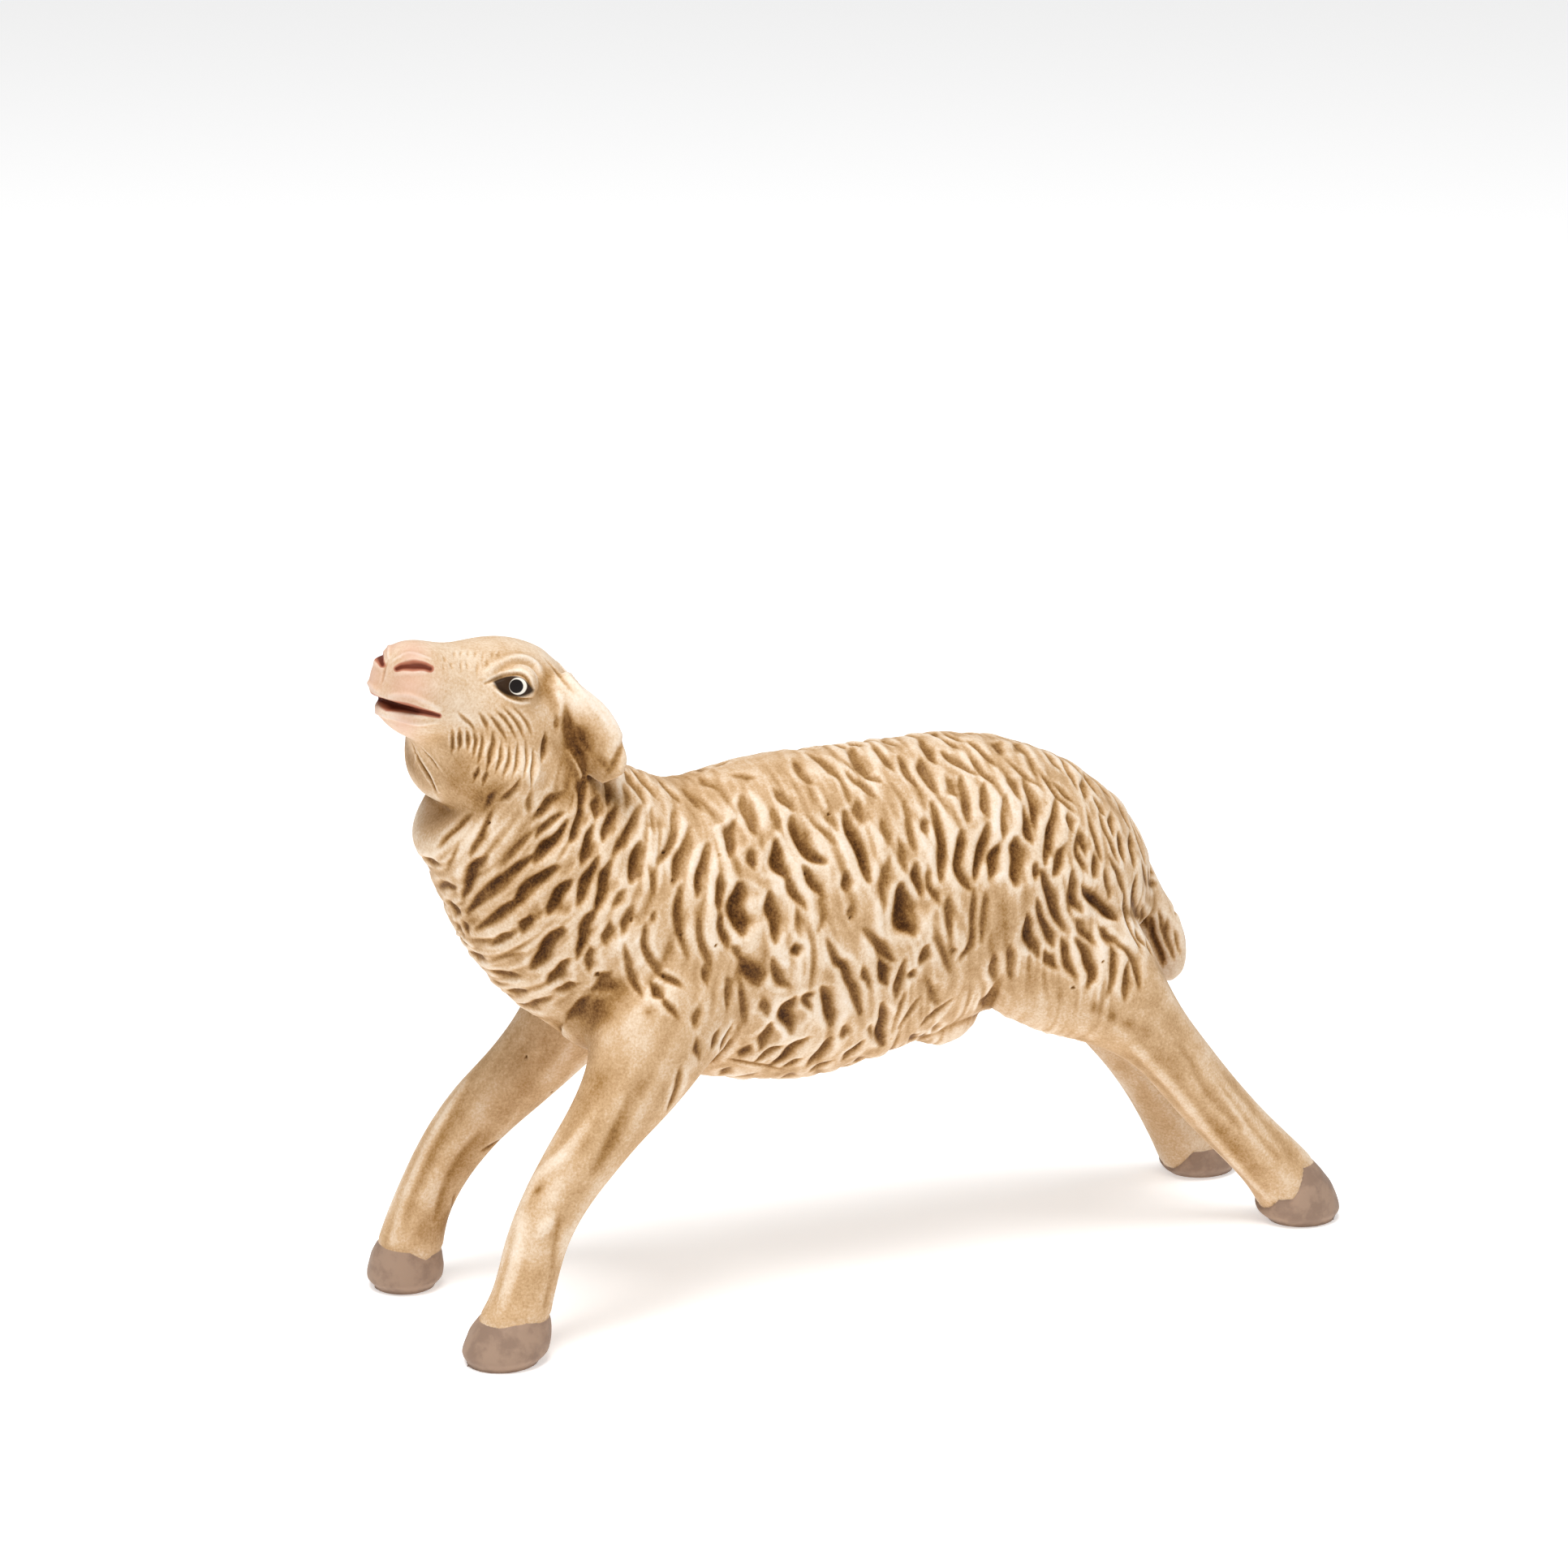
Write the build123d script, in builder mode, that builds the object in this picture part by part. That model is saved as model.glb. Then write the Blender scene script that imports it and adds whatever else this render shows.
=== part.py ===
"""Standing sheep figurine, cast in composition, with wire-cored legs.

Millimetres. +Z is up, the sheep faces -X and its left side is -Y. The hooves stand on z = 0.
"""

import os

from build123d import *

os.makedirs("parts", exist_ok=True)

# Trunk
trunk_length = 57.0
trunk_depth = 36.4
trunk_width = 26.0
back_height = 59.2
trunk_middle_x = 5.7
shell_wall = 3.2
belly_bump_radius = 5.2

# Neck, from the shoulder section to the collar that carries the head
neck_reach = 19.5
neck_rise = 16.5
neck_depth = 21.2
neck_width = 18.0
spigot_length = 5.0
collar_band = 1.0

# Head
head_length = 14.4
head_rise = 13.6
head_depth = 17.6
head_width = 15.2
head_turn = 18.0
jowl_width = 18.0
jowl_depth = 10.5
mouth_depth = 3.9
mouth_gape = 1.9
mouth_slope = 21.0
eye_radius = 1.9

# Ears
ear_length = 10.4
ear_width = 5.8
ear_thickness = 2.4
ear_peg_radius = 0.8
ear_peg_length = 2.5

# Tail
tail_length = 15.6
tail_width = 6.4
tail_thickness = 5.6
tail_peg_radius = 1.1
tail_peg_length = 4.0

# Legs: how far each hoof stands from its root, and how thick the leg is
front_left_reach = 26.4
front_right_reach = 28.6
rear_left_reach = 37.0
rear_right_reach = 34.3
front_left_spread = 6.5
front_right_spread = 6.75
rear_left_spread = 3.2
rear_right_spread = 5.0
front_leg_depth = 6.6
front_leg_width = 6.6
rear_leg_depth = 7.2
rear_leg_width = 6.8
wire_radius = 0.8
wire_bend_radius = 4.0

# Fits
glue_gap = 0.05
cut_overrun = 2.0

# Trunk sections from the rump to the shoulder: how far along, how high, depth, width, tilt
trunk_shares = (
    (0.000, 0.627, 0.20, 0.26, 35),
    (0.080, 0.660, 0.455, 0.62, 30),
    (0.175, 0.693, 0.69, 0.85, 20),
    (0.333, 0.731, 0.85, 0.96, 6),
    (0.560, 0.711, 0.96, 1.00, 0),
    (0.790, 0.697, 1.00, 1.00, 0),
    (1.000, 0.721, 0.88, 0.95, 14),
)

# Neck sections from the shoulder to the collar: reach, rise, depth, width, tilt
neck_shares = (
    (0.46, 0.24, 1.35, 1.25, 35),
    (0.795, 0.636, 1.15, 1.10, 48),
    (1.00, 1.00, 1.00, 1.00, 58),
)

# Skull and muzzle sections beyond the collar: reach, rise, depth, width, tilt
skull_shares = (
    (-0.16, 0.40, 1.03, 1.06, 50),
    (0.13, 0.615, 1.00, 0.99, 30),
    (0.46, 0.81, 0.66, 0.74, 15),
    (0.76, 0.945, 0.56, 0.64, 12),
    (0.91, 1.01, 0.42, 0.52, 14),
    (0.965, 1.035, 0.22, 0.30, 16),
)

# Jaw sections from the chin to the throat: reach, rise, depth, width, tilt
jaw_shares = (
    (0.72, 0.70, 0.30, 0.30, 20),
    (0.46, 0.48, 0.80, 0.70, 28),
    (0.20, 0.24, 1.00, 1.04, 44),
    (-0.05, 0.20, 0.80, 0.86, 56),
)

# Ear sections from root to tip: how far along, width, thickness
ear_shares = (
    (-0.18, 0.50, 1.00),
    (0.12, 0.72, 1.00),
    (0.45, 1.00, 0.95),
    (0.78, 0.88, 0.75),
    (1.00, 0.50, 0.50),
)

# Tail sections from the croup to the tip: back, drop, thickness, width
tail_shares = (
    (-0.10, -0.02, 0.66, 0.74),
    (0.08, 0.22, 0.88, 0.90),
    (0.20, 0.48, 1.00, 1.00),
    (0.30, 0.72, 1.00, 1.00),
    (0.33, 0.90, 0.70, 0.76),
    (0.32, 0.97, 0.25, 0.30),
)

# Leg sections from root to sole: share of the reach, of the spread and of the drop to the
# floor, then the thickness fore and aft and across
front_left_shares = (
    (0.00, 0.00, 0.000, 2.70, 1.70),
    (0.23, 0.49, 0.143, 2.25, 1.50),
    (0.40, 0.66, 0.298, 1.75, 1.36),
    (0.55, 0.70, 0.433, 1.26, 1.15),
    (0.725, 0.76, 0.571, 1.02, 1.00),
    (0.825, 0.82, 0.690, 0.92, 0.95),
    (0.89, 0.89, 0.810, 0.95, 0.96),
    (0.945, 0.95, 0.910, 1.14, 1.10),
    (1.00, 1.00, 1.000, 1.28, 1.20),
)
front_right_shares = (
    (0.00, 0.00, 0.000, 2.70, 1.70),
    (0.245, 0.33, 0.183, 1.95, 1.50),
    (0.455, 0.60, 0.354, 1.45, 1.30),
    (0.66, 0.76, 0.500, 1.20, 1.13),
    (0.835, 0.86, 0.650, 1.00, 1.00),
    (0.925, 0.92, 0.780, 0.95, 0.96),
    (0.975, 0.96, 0.885, 1.06, 1.06),
    (1.00, 1.00, 1.000, 1.14, 1.12),
)
rear_left_shares = (
    (0.00, 0.00, 0.000, 2.90, 1.75),
    (0.22, 0.62, 0.180, 2.35, 1.48),
    (0.405, 0.78, 0.330, 1.50, 1.26),
    (0.55, 0.78, 0.480, 1.10, 1.08),
    (0.70, 0.78, 0.643, 1.00, 0.98),
    (0.85, 0.88, 0.790, 0.98, 0.97),
    (0.945, 0.94, 0.895, 1.10, 1.08),
    (1.00, 1.00, 1.000, 1.18, 1.12),
)
rear_right_shares = (
    (0.00, 0.00, 0.000, 2.90, 1.75),
    (0.22, 0.40, 0.180, 2.30, 1.48),
    (0.45, 0.56, 0.345, 1.40, 1.24),
    (0.61, 0.64, 0.500, 1.06, 1.06),
    (0.74, 0.70, 0.640, 1.00, 0.98),
    (0.845, 0.80, 0.780, 0.97, 0.96),
    (0.925, 0.90, 0.890, 1.06, 1.06),
    (1.00, 1.00, 1.000, 1.14, 1.10),
)

# Where the legs and the tail leave the trunk: along it, out from the middle, and up
front_root_shares = (0.965, 0.46, 0.686)
rear_root_shares = (0.333, 0.42, 0.686)
tail_root_shares = (0.02, 0.729)
belly_bump_shares = (0.44, 0.497)

# Places on the head: share of its length, of half its width and of its rise
eye_shares = (0.09, 0.80, 0.95)
ear_root_shares = (-0.30, 0.94, 0.84)
mouth_corner_shares = (0.74, 0.80)
ear_hang_shares = (0.27, 0.38, 0.89)
ear_face_shares = (0.75, 0.66)

# The sections of a leg that its wire runs between
wire_sections = slice(1, -1)


def spine_plane(x, z, tilt, y=0, turn=0):
    """Plane across the spine; its normal points forward, tilted up and turned to the left."""
    normal = Vector(-1, 0, 0).rotate(Axis.Y, tilt).rotate(Axis.Z, turn)
    across = Vector(0, 1, 0).rotate(Axis.Z, turn)
    return Plane(origin=(x, y, z), x_dir=across, z_dir=normal)


def oval_sections(stations, inset=0):
    """One oval face on each station's plane, drawn in by inset all round."""
    faces = []
    for plane, width, depth in stations:
        with BuildSketch(plane) as oval:
            Ellipse(width / 2 - inset, depth / 2 - inset)
        faces.append(oval.sketch)
    return faces


# Trunk and neck, one run of ovals from the rump to the collar
rump_x = trunk_middle_x + trunk_length / 2
shoulder_x = rump_x - trunk_length
shoulder_z = back_height * trunk_shares[-1][1]

fleece_stations = []
for along, up, depth, width, tilt in trunk_shares:
    plane = spine_plane(rump_x - along * trunk_length, up * back_height, tilt)
    fleece_stations.append((plane, width * trunk_width, depth * trunk_depth))
for reach, rise, depth, width, tilt in neck_shares:
    plane = spine_plane(shoulder_x - reach * neck_reach, shoulder_z + rise * neck_rise, tilt)
    fleece_stations.append((plane, width * neck_width, depth * neck_depth))
collar = fleece_stations[-1][0]

with BuildPart() as fleece:
    loft(sections=oval_sections(fleece_stations))
    bump_x = rump_x - belly_bump_shares[0] * trunk_length
    with Locations((bump_x, 0, belly_bump_shares[1] * back_height)):
        Sphere(belly_bump_radius)

with BuildPart() as fleece_clearance:
    loft(sections=oval_sections(fleece_stations, -glue_gap))

with BuildPart() as hollow:
    loft(sections=oval_sections(fleece_stations[1:], shell_wall))

# Legs, each one run of ovals from inside the trunk to a level sole
legs = {}
for name, root_shares, shares, reach, spread, depth, width in (
    ("front_left", front_root_shares, front_left_shares, -front_left_reach, -front_left_spread,
     front_leg_depth, front_leg_width),
    ("front_right", front_root_shares, front_right_shares, -front_right_reach, front_right_spread,
     front_leg_depth, front_leg_width),
    ("rear_left", rear_root_shares, rear_left_shares, rear_left_reach, -rear_left_spread,
     rear_leg_depth, rear_leg_width),
    ("rear_right", rear_root_shares, rear_right_shares, rear_right_reach, rear_right_spread,
     rear_leg_depth, rear_leg_width),
):
    side = 1 if spread > 0 else -1
    root_x = rump_x - root_shares[0] * trunk_length
    root_y = side * root_shares[1] * trunk_width / 2
    root_z = root_shares[2] * back_height
    middles = []
    for along, out, drop, *_ in shares:
        middles.append(Vector(root_x + along * reach, root_y + out * spread, root_z * (1 - drop)))
    stations = []
    for place, middle in enumerate(middles):
        if place == len(middles) - 1:
            normal = Vector(0, 0, -1)
        else:
            normal = middles[place + 1] - middles[max(place - 1, 0)]
        across = Vector(0, 1, 0)
        plane = Plane(origin=middle, x_dir=across - normal * (across.dot(normal) / normal.length**2),
                      z_dir=normal)
        stations.append((plane, shares[place][4] * width, shares[place][3] * depth))
    root, thigh, joint, *shank = stations
    legs[name] = (middles, stations, joint[0])

limbs = {}
wire_holes = {}
wires = {}
for name, (middles, stations, joint) in legs.items():
    with BuildPart() as limb:
        loft(sections=oval_sections(stations))
    limbs[name] = limb.part

    route = middles[wire_sections]
    start = Plane(origin=route[0], z_dir=route[1] - route[0])
    with BuildLine() as run:
        FilletPolyline(*route, radius=wire_bend_radius)
    with BuildPart() as wire:
        with BuildSketch(start):
            Circle(wire_radius)
        sweep(path=run.line)
    wires[name] = wire.part
    with BuildPart() as wire_hole:
        with BuildSketch(start):
            Circle(wire_radius + glue_gap)
        sweep(path=run.line)
    wire_holes[name] = wire_hole.part

# Tail, lying against the rump
tail_root = Vector(rump_x - tail_root_shares[0] * trunk_length, 0, tail_root_shares[1] * back_height)
tail_middles = []
for back, drop, *_ in tail_shares:
    tail_middles.append(tail_root + Vector(back * tail_length, 0, -drop * tail_length))
tail_stations = []
for place, (back, drop, thickness, width) in enumerate(tail_shares):
    ahead = tail_middles[min(place + 1, len(tail_middles) - 1)]
    run_direction = ahead - tail_middles[max(place - 1, 0)]
    plane = Plane(origin=tail_middles[place], x_dir=(0, 1, 0), z_dir=run_direction)
    tail_stations.append((plane, width * tail_width, thickness * tail_thickness))
tail_peg_plane = Plane(origin=tail_middles[2], x_dir=(0, 1, 0),
                       z_dir=Vector(-tail_middles[2].Z + tail_middles[3].Z, 0,
                                    tail_middles[2].X - tail_middles[3].X))

with BuildPart() as tail:
    loft(sections=oval_sections(tail_stations))
    add(fleece_clearance.part, mode=Mode.SUBTRACT)
    with BuildSketch(tail_peg_plane):
        Circle(tail_peg_radius)
    extrude(amount=tail_thickness / 2 + tail_peg_length)
tail.part.label = "tail"
export_step(tail.part, "parts/tail.step")

# Body: trunk, neck and the four stubs, hollow, in two halves
with BuildPart() as body:
    add(fleece.part)
    for name, limb in limbs.items():
        joint = legs[name][2]
        add(split(limb, bisect_by=joint, keep=Keep.BOTTOM, mode=Mode.PRIVATE))
    add(hollow.part, mode=Mode.SUBTRACT)
    for wire_hole in wire_holes.values():
        add(wire_hole, mode=Mode.SUBTRACT)
    with BuildSketch(tail_peg_plane):
        Circle(tail_peg_radius + glue_gap)
    extrude(amount=tail_thickness / 2 + tail_peg_length, mode=Mode.SUBTRACT)

with BuildPart() as body_left_shell:
    add(split(body.part, bisect_by=Plane.XZ, keep=Keep.TOP, mode=Mode.PRIVATE))
body_left_shell.part.label = "body_left_shell"
export_step(body_left_shell.part, "parts/body_left_shell.step")

with BuildPart() as body_right_shell:
    add(split(body.part, bisect_by=Plane.XZ, keep=Keep.BOTTOM, mode=Mode.PRIVATE))
body_right_shell.part.label = "body_right_shell"
export_step(body_right_shell.part, "parts/body_right_shell.step")

# Legs below their glue joints, and the wires that hold them
for name, limb in limbs.items():
    joint = legs[name][2]
    with BuildPart() as leg:
        add(split(limb, bisect_by=joint, keep=Keep.TOP, mode=Mode.PRIVATE))
        add(fleece_clearance.part, mode=Mode.SUBTRACT)
        add(wire_holes[name], mode=Mode.SUBTRACT)
    leg.part.label = f"{name}_leg"
    export_step(leg.part, f"parts/{name}_leg.step")
    wires[name].label = f"{name}_leg_wire"
    export_step(wires[name], f"parts/{name}_leg_wire.step")

# Head: directions and places of its own, turned to the left
forward = Vector(-1, 0, 0).rotate(Axis.Z, head_turn)
leftward = Vector(0, -1, 0).rotate(Axis.Z, head_turn)
upward = Vector(0, 0, 1)


def head_place(reach, out, rise):
    """Point of the head, out to the left of its middle plane by a share of half its width."""
    place = collar.origin + forward * (reach * head_length) + upward * (rise * head_rise)
    return place + leftward * (out * head_width / 2)


def head_stations(shares, depth_size, width_size):
    """Oval stations along the head's middle plane."""
    stations = []
    for reach, rise, depth, width, tilt in shares:
        place = head_place(reach, 0, rise)
        plane = spine_plane(place.X, place.Z, tilt, place.Y, head_turn)
        stations.append((plane, width * width_size, depth * depth_size))
    return stations


collar_stations = [fleece_stations[-1], (collar.offset(collar_band), neck_width, neck_depth)]
skull_stations = collar_stations + head_stations(skull_shares, head_depth, head_width)
jaw_stations = head_stations(jaw_shares, jowl_depth, jowl_width)
mouth_corner = head_place(mouth_corner_shares[0], 0, mouth_corner_shares[1])
mouth_line = forward.rotate(Axis((0, 0, 0), leftward), -mouth_slope)
mouth_plane = Plane(origin=mouth_corner, x_dir=mouth_line, z_dir=leftward)


def head_mass(inset):
    """Skull, muzzle, jaw and eyes, drawn in by inset."""
    with BuildPart() as mass:
        loft(sections=oval_sections(skull_stations, inset))
        loft(sections=oval_sections(jaw_stations, inset))
        for out in (-eye_shares[1], eye_shares[1]):
            with Locations(head_place(eye_shares[0], out, eye_shares[2])):
                Sphere(eye_radius - inset)
    return mass.part


# Ears, the right one a mirror of the left
ears = {}
for name, side in (("left", 1), ("right", -1)):
    root = head_place(ear_root_shares[0], side * ear_root_shares[1], ear_root_shares[2])
    back, out, down = ear_hang_shares
    hang = (leftward * (side * out) - forward * back - upward * down).normalized()
    back, out = ear_face_shares
    broad = leftward * (side * out) - forward * back
    ear_stations = []
    for along, width, thickness in ear_shares:
        plane = Plane(origin=root + hang * (along * ear_length),
                      x_dir=broad - hang * broad.dot(hang), z_dir=hang)
        ear_stations.append((plane, width * ear_width, thickness * ear_thickness))
    peg_plane = Plane(origin=root + hang * (ear_shares[1][0] * ear_length), z_dir=leftward * -side)
    ears[name] = (ear_stations, peg_plane)

head_clearance = head_mass(-glue_gap)

with BuildPart() as head:
    add(head_mass(0))
    with BuildSketch(mouth_plane):
        with BuildLine():
            Polyline((0, 0), (mouth_depth + cut_overrun, mouth_gape), (mouth_depth + cut_overrun, 0),
                     close=True)
        make_face()
    extrude(amount=head_width, both=True, mode=Mode.SUBTRACT)
    with BuildSketch(collar):
        Ellipse(neck_width / 2 - shell_wall - glue_gap, neck_depth / 2 - shell_wall - glue_gap)
    extrude(amount=-spigot_length)
    for ear_stations, peg_plane in ears.values():
        with BuildSketch(peg_plane):
            Circle(ear_peg_radius + glue_gap)
        extrude(amount=ear_thickness + ear_peg_length, mode=Mode.SUBTRACT)
head.part.label = "head"
export_step(head.part, "parts/head.step")

for name, (ear_stations, peg_plane) in ears.items():
    with BuildPart() as ear:
        loft(sections=oval_sections(ear_stations))
        add(head_clearance, mode=Mode.SUBTRACT)
        add(fleece_clearance.part, mode=Mode.SUBTRACT)
        with BuildSketch(peg_plane):
            Circle(ear_peg_radius)
        extrude(amount=ear_thickness + ear_peg_length)
    ear.part.label = f"{name}_ear"
    export_step(ear.part, f"parts/{name}_ear.step")
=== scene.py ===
import math

import bmesh
import bpy
import numpy as np
from mathutils import Matrix, Vector, noise
from mathutils.bvhtree import BVHTree


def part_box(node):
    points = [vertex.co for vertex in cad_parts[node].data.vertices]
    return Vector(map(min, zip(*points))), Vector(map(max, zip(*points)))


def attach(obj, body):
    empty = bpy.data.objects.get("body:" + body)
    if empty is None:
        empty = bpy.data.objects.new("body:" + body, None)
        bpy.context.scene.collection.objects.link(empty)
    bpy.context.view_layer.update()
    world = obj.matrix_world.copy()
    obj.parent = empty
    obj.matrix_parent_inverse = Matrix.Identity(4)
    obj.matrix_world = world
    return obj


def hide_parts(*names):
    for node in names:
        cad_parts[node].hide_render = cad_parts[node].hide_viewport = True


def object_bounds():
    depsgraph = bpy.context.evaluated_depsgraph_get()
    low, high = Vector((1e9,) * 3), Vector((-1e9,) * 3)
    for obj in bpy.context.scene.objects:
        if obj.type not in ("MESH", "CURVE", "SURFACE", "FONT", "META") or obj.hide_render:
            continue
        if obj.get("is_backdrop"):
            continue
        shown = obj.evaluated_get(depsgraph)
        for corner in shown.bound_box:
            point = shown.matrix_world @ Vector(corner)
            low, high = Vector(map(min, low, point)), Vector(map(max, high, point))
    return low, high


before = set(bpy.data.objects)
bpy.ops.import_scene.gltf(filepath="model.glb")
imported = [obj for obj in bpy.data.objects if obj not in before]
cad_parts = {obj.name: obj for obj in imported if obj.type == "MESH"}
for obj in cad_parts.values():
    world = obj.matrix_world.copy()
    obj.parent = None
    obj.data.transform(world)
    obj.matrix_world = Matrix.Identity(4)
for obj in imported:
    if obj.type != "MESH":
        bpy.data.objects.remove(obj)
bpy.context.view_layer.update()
print("stage: frame loaded,", len(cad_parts), "nodes")

# The sheep is sculpted in millimetres and put into metres at the end.
millimetre = 0.001
rng = np.random.default_rng(7)

# camera, at the photograph's place, millimetres and pixels of the photograph
camera = {
    "place": (-203.0, -443.7, 188.1),
    "aim": (-9.59, -1.11, 56.46),
    "lens": 106.2,
    "sensor": 36.0,
    "picture": 1932,
}


def unit(v):
    v = np.asarray(v, float)
    return v / np.maximum(np.linalg.norm(v, axis=-1, keepdims=True), 1e-12)


eyePoint = np.array(camera["place"])
ahead = unit(np.array(camera["aim"]) - eyePoint)
rightward = unit(np.cross(ahead, (0, 0, 1)))
upward = np.cross(rightward, ahead)
focalPixels = camera["lens"] / camera["sensor"] * camera["picture"]
pictureMiddle = camera["picture"] / 2
# one pixel at the object, mm
pixel = np.linalg.norm(np.array(camera["aim"]) - eyePoint) / focalPixels
# a groove's soft side lies this way in the picture, its steep side the other; the steep wall faces away from
# the light, and its wash is darkened there as painted shade
shadeSide = unit(rightward * 0.85 - upward * 0.5)


def photoXy(points):
    away = points - eyePoint
    depth = away @ ahead
    return np.stack([pictureMiddle + focalPixels * (away @ rightward) / depth,
                     pictureMiddle - focalPixels * (away @ upward) / depth], axis=1)


def photoRay(x, y):
    return unit(ahead * focalPixels + rightward * (x - pictureMiddle) + upward * (pictureMiddle - y))


# head and body have their own planes of symmetry: the head is turned a little to its left
headTurn = math.radians(18)
collarTilt = math.radians(58)
collarPoint = np.array((-42.3, 0.0, 59.18))
collarNormal = np.array((-math.cos(collarTilt), 0.0, math.sin(collarTilt)))
collarMargin = 4.0  # mm of the neck that are treated as head
headLeft = np.array((math.sin(headTurn), -math.cos(headTurn), 0.0))


def mirrorHead(points):
    return points - 2 * ((points - collarPoint) @ headLeft)[..., None] * headLeft


def mirrorBody(points):
    return points * (1, -1, 1)


def mirrorHeadVector(vectors):
    return vectors - 2 * (vectors @ headLeft)[..., None] * headLeft


def deselectAll():
    if bpy.context.object and bpy.context.object.mode != "OBJECT":
        bpy.ops.object.mode_set(mode="OBJECT")
    bpy.ops.object.select_all(action="DESELECT")


# skin: one seamless outer surface over the CAD pieces, fine enough to carve
skin = {
    "voxel": 0.245,
    "swell": 0.07,  # closes the glue gaps between the CAD pieces
    "weld": 0.002,
    "passes": 7,
    "rootPasses": 80,
    "rootReach": 11.0,
    "fineFace": (672, 975),  # the face is finer left of and above this place in the photograph
    "facePasses": 12,
    "faceEdge": 690,
    "throatPasses": 340,
    "throatBox": (-29, 44),  # the throat lies before this x and above this z
    "eyePasses": 240,
    "earPasses": 260,
    "chestPasses": 200,
    "chestPlace": -0.6,  # along the collar's normal
    "chestBand": (1.5, 5),
    "chestFront": (3, 8),
    "shoulderPasses": 260,
    "foldPasses": 600,
    "foldPlace": (-36.0, -7.2, 32.3),
    "foldReach": 5.0,
    "softPasses": 30,  # for the way in below the skin, clear of the carving
}
outerNodes = [
    "body_left_shell", "body_right_shell", "head", "left_ear", "right_ear", "tail",
    "front_left_leg", "front_right_leg", "rear_left_leg", "rear_right_leg",
]


def makeSkin(name, nodeNames, voxel):
    deselectAll()
    copies = []
    for nodeName in nodeNames:
        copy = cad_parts[nodeName].copy()
        copy.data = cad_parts[nodeName].data.copy()
        for key in list(copy.keys()):
            del copy[key]
        copy.parent = None
        bpy.context.scene.collection.objects.link(copy)
        copy.data.transform(Matrix.Scale(1 / millimetre, 4))
        work = bmesh.new()
        work.from_mesh(copy.data)
        bmesh.ops.remove_doubles(work, verts=work.verts, dist=skin["weld"])
        work.normal_update()
        for vert in work.verts:
            vert.co += vert.normal * skin["swell"]
        work.to_mesh(copy.data)
        work.free()
        copies.append(copy)
    for copy in copies:
        copy.select_set(True)
    bpy.context.view_layer.objects.active = copies[0]
    bpy.ops.object.join()
    made = bpy.context.object
    made.data.materials.clear()
    made.data.remesh_voxel_size = voxel
    made.data.use_remesh_fix_poles = False
    made.data.use_remesh_preserve_volume = False
    bpy.ops.object.voxel_remesh()
    bpy.ops.object.mode_set(mode="EDIT")
    bpy.ops.mesh.separate(type="LOOSE")
    bpy.ops.object.mode_set(mode="OBJECT")
    islands = sorted(bpy.context.selected_objects, key=lambda o: o.dimensions.length)
    keep = islands.pop()
    for island in islands:
        bpy.data.objects.remove(island)
    keep.name = name
    deselectAll()
    bpy.context.view_layer.objects.active = keep
    return keep


class Surface:
    # the working arrays of one skin
    def __init__(self, obj):
        mesh = obj.data
        self.obj = obj
        self.count = len(mesh.vertices)
        self.co = np.empty(self.count * 3)
        mesh.vertices.foreach_get("co", self.co)
        self.co = self.co.reshape(-1, 3)
        self.edges = np.empty(len(mesh.edges) * 2, np.int64)
        mesh.edges.foreach_get("vertices", self.edges)
        self.edges = self.edges.reshape(-1, 2)
        self.ends = np.concatenate([self.edges[:, 0], self.edges[:, 1]])
        self.others = np.concatenate([self.edges[:, 1], self.edges[:, 0]])
        self.valence = np.maximum(np.bincount(self.ends, minlength=self.count), 1)[:, None]
        self.faces = [tuple(p.vertices) for p in mesh.polygons]
        self.refresh()

    def refresh(self):
        mesh = self.obj.data
        mesh.vertices.foreach_set("co", self.co.ravel())
        mesh.update()
        normals = np.empty(self.count * 3, np.float32)
        mesh.vertex_normals.foreach_get("vector", normals)
        self.normals = normals.reshape(-1, 3).astype(float)

    def spread(self, values):
        columns = [np.bincount(self.ends, values[self.others, k], self.count) for k in range(values.shape[1])]
        return np.stack(columns, axis=1) / self.valence

    def relax(self, passes, weight):
        part = np.flatnonzero(weight > 0.004)
        inPart = np.full(self.count, -1)
        inPart[part] = np.arange(len(part))
        used = inPart[self.ends] >= 0
        ends, others = inPart[self.ends[used]], self.others[used]
        weight, valence = weight[part][:, None], self.valence[part]
        for _ in range(passes):
            sums = [np.bincount(ends, self.co[others, k], len(part)) for k in range(3)]
            self.co[part] += weight * (np.stack(sums, axis=1) / valence - self.co[part])
        self.refresh()

    def tree(self):
        return BVHTree.FromPolygons(self.co.tolist(), self.faces)


def smoothStep(low, high, x):
    t = np.clip((x - low) / (high - low), 0, 1)
    return t * t * (3 - 2 * t)


# where the legs meet the body: a point between them, the way the leg leaves the body, and the foot
legRoots = {
    "front_left_leg": ((-31.37, -10.27, 28.51), (-8.45, -1.37, -11.77), (-47.2, -12.48, 0.0)),
    "front_right_leg": ((-33.82, 10.03, 26.23), (-11.87, 2.90, -12.87), (-49.4, 12.73, 0.0)),
    "rear_left_leg": ((30.20, -7.96, 27.21), (12.21, -0.51, -12.18), (52.22, -8.66, 0.0)),
    "rear_right_leg": ((30.65, 8.26, 26.60), (13.37, 1.20, -12.99), (49.52, 10.46, 0.0)),
}


def isHead(points):
    return (points - collarPoint) @ collarNormal > -collarMargin


def twin(points, normals):
    # far points stand for their mirror images on the near side, each by its own plane
    head = isHead(points)
    far = np.where(head, (points - collarPoint) @ headLeft < 0, points[:, 1] > 0)
    swap = [np.where(head[:, None], mirrorHead(points), mirrorBody(points)),
            np.where(head[:, None], mirrorHeadVector(normals), mirrorBody(normals))]
    return [np.where(far[:, None], new, old) for new, old in zip(swap, (points, normals))]


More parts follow.
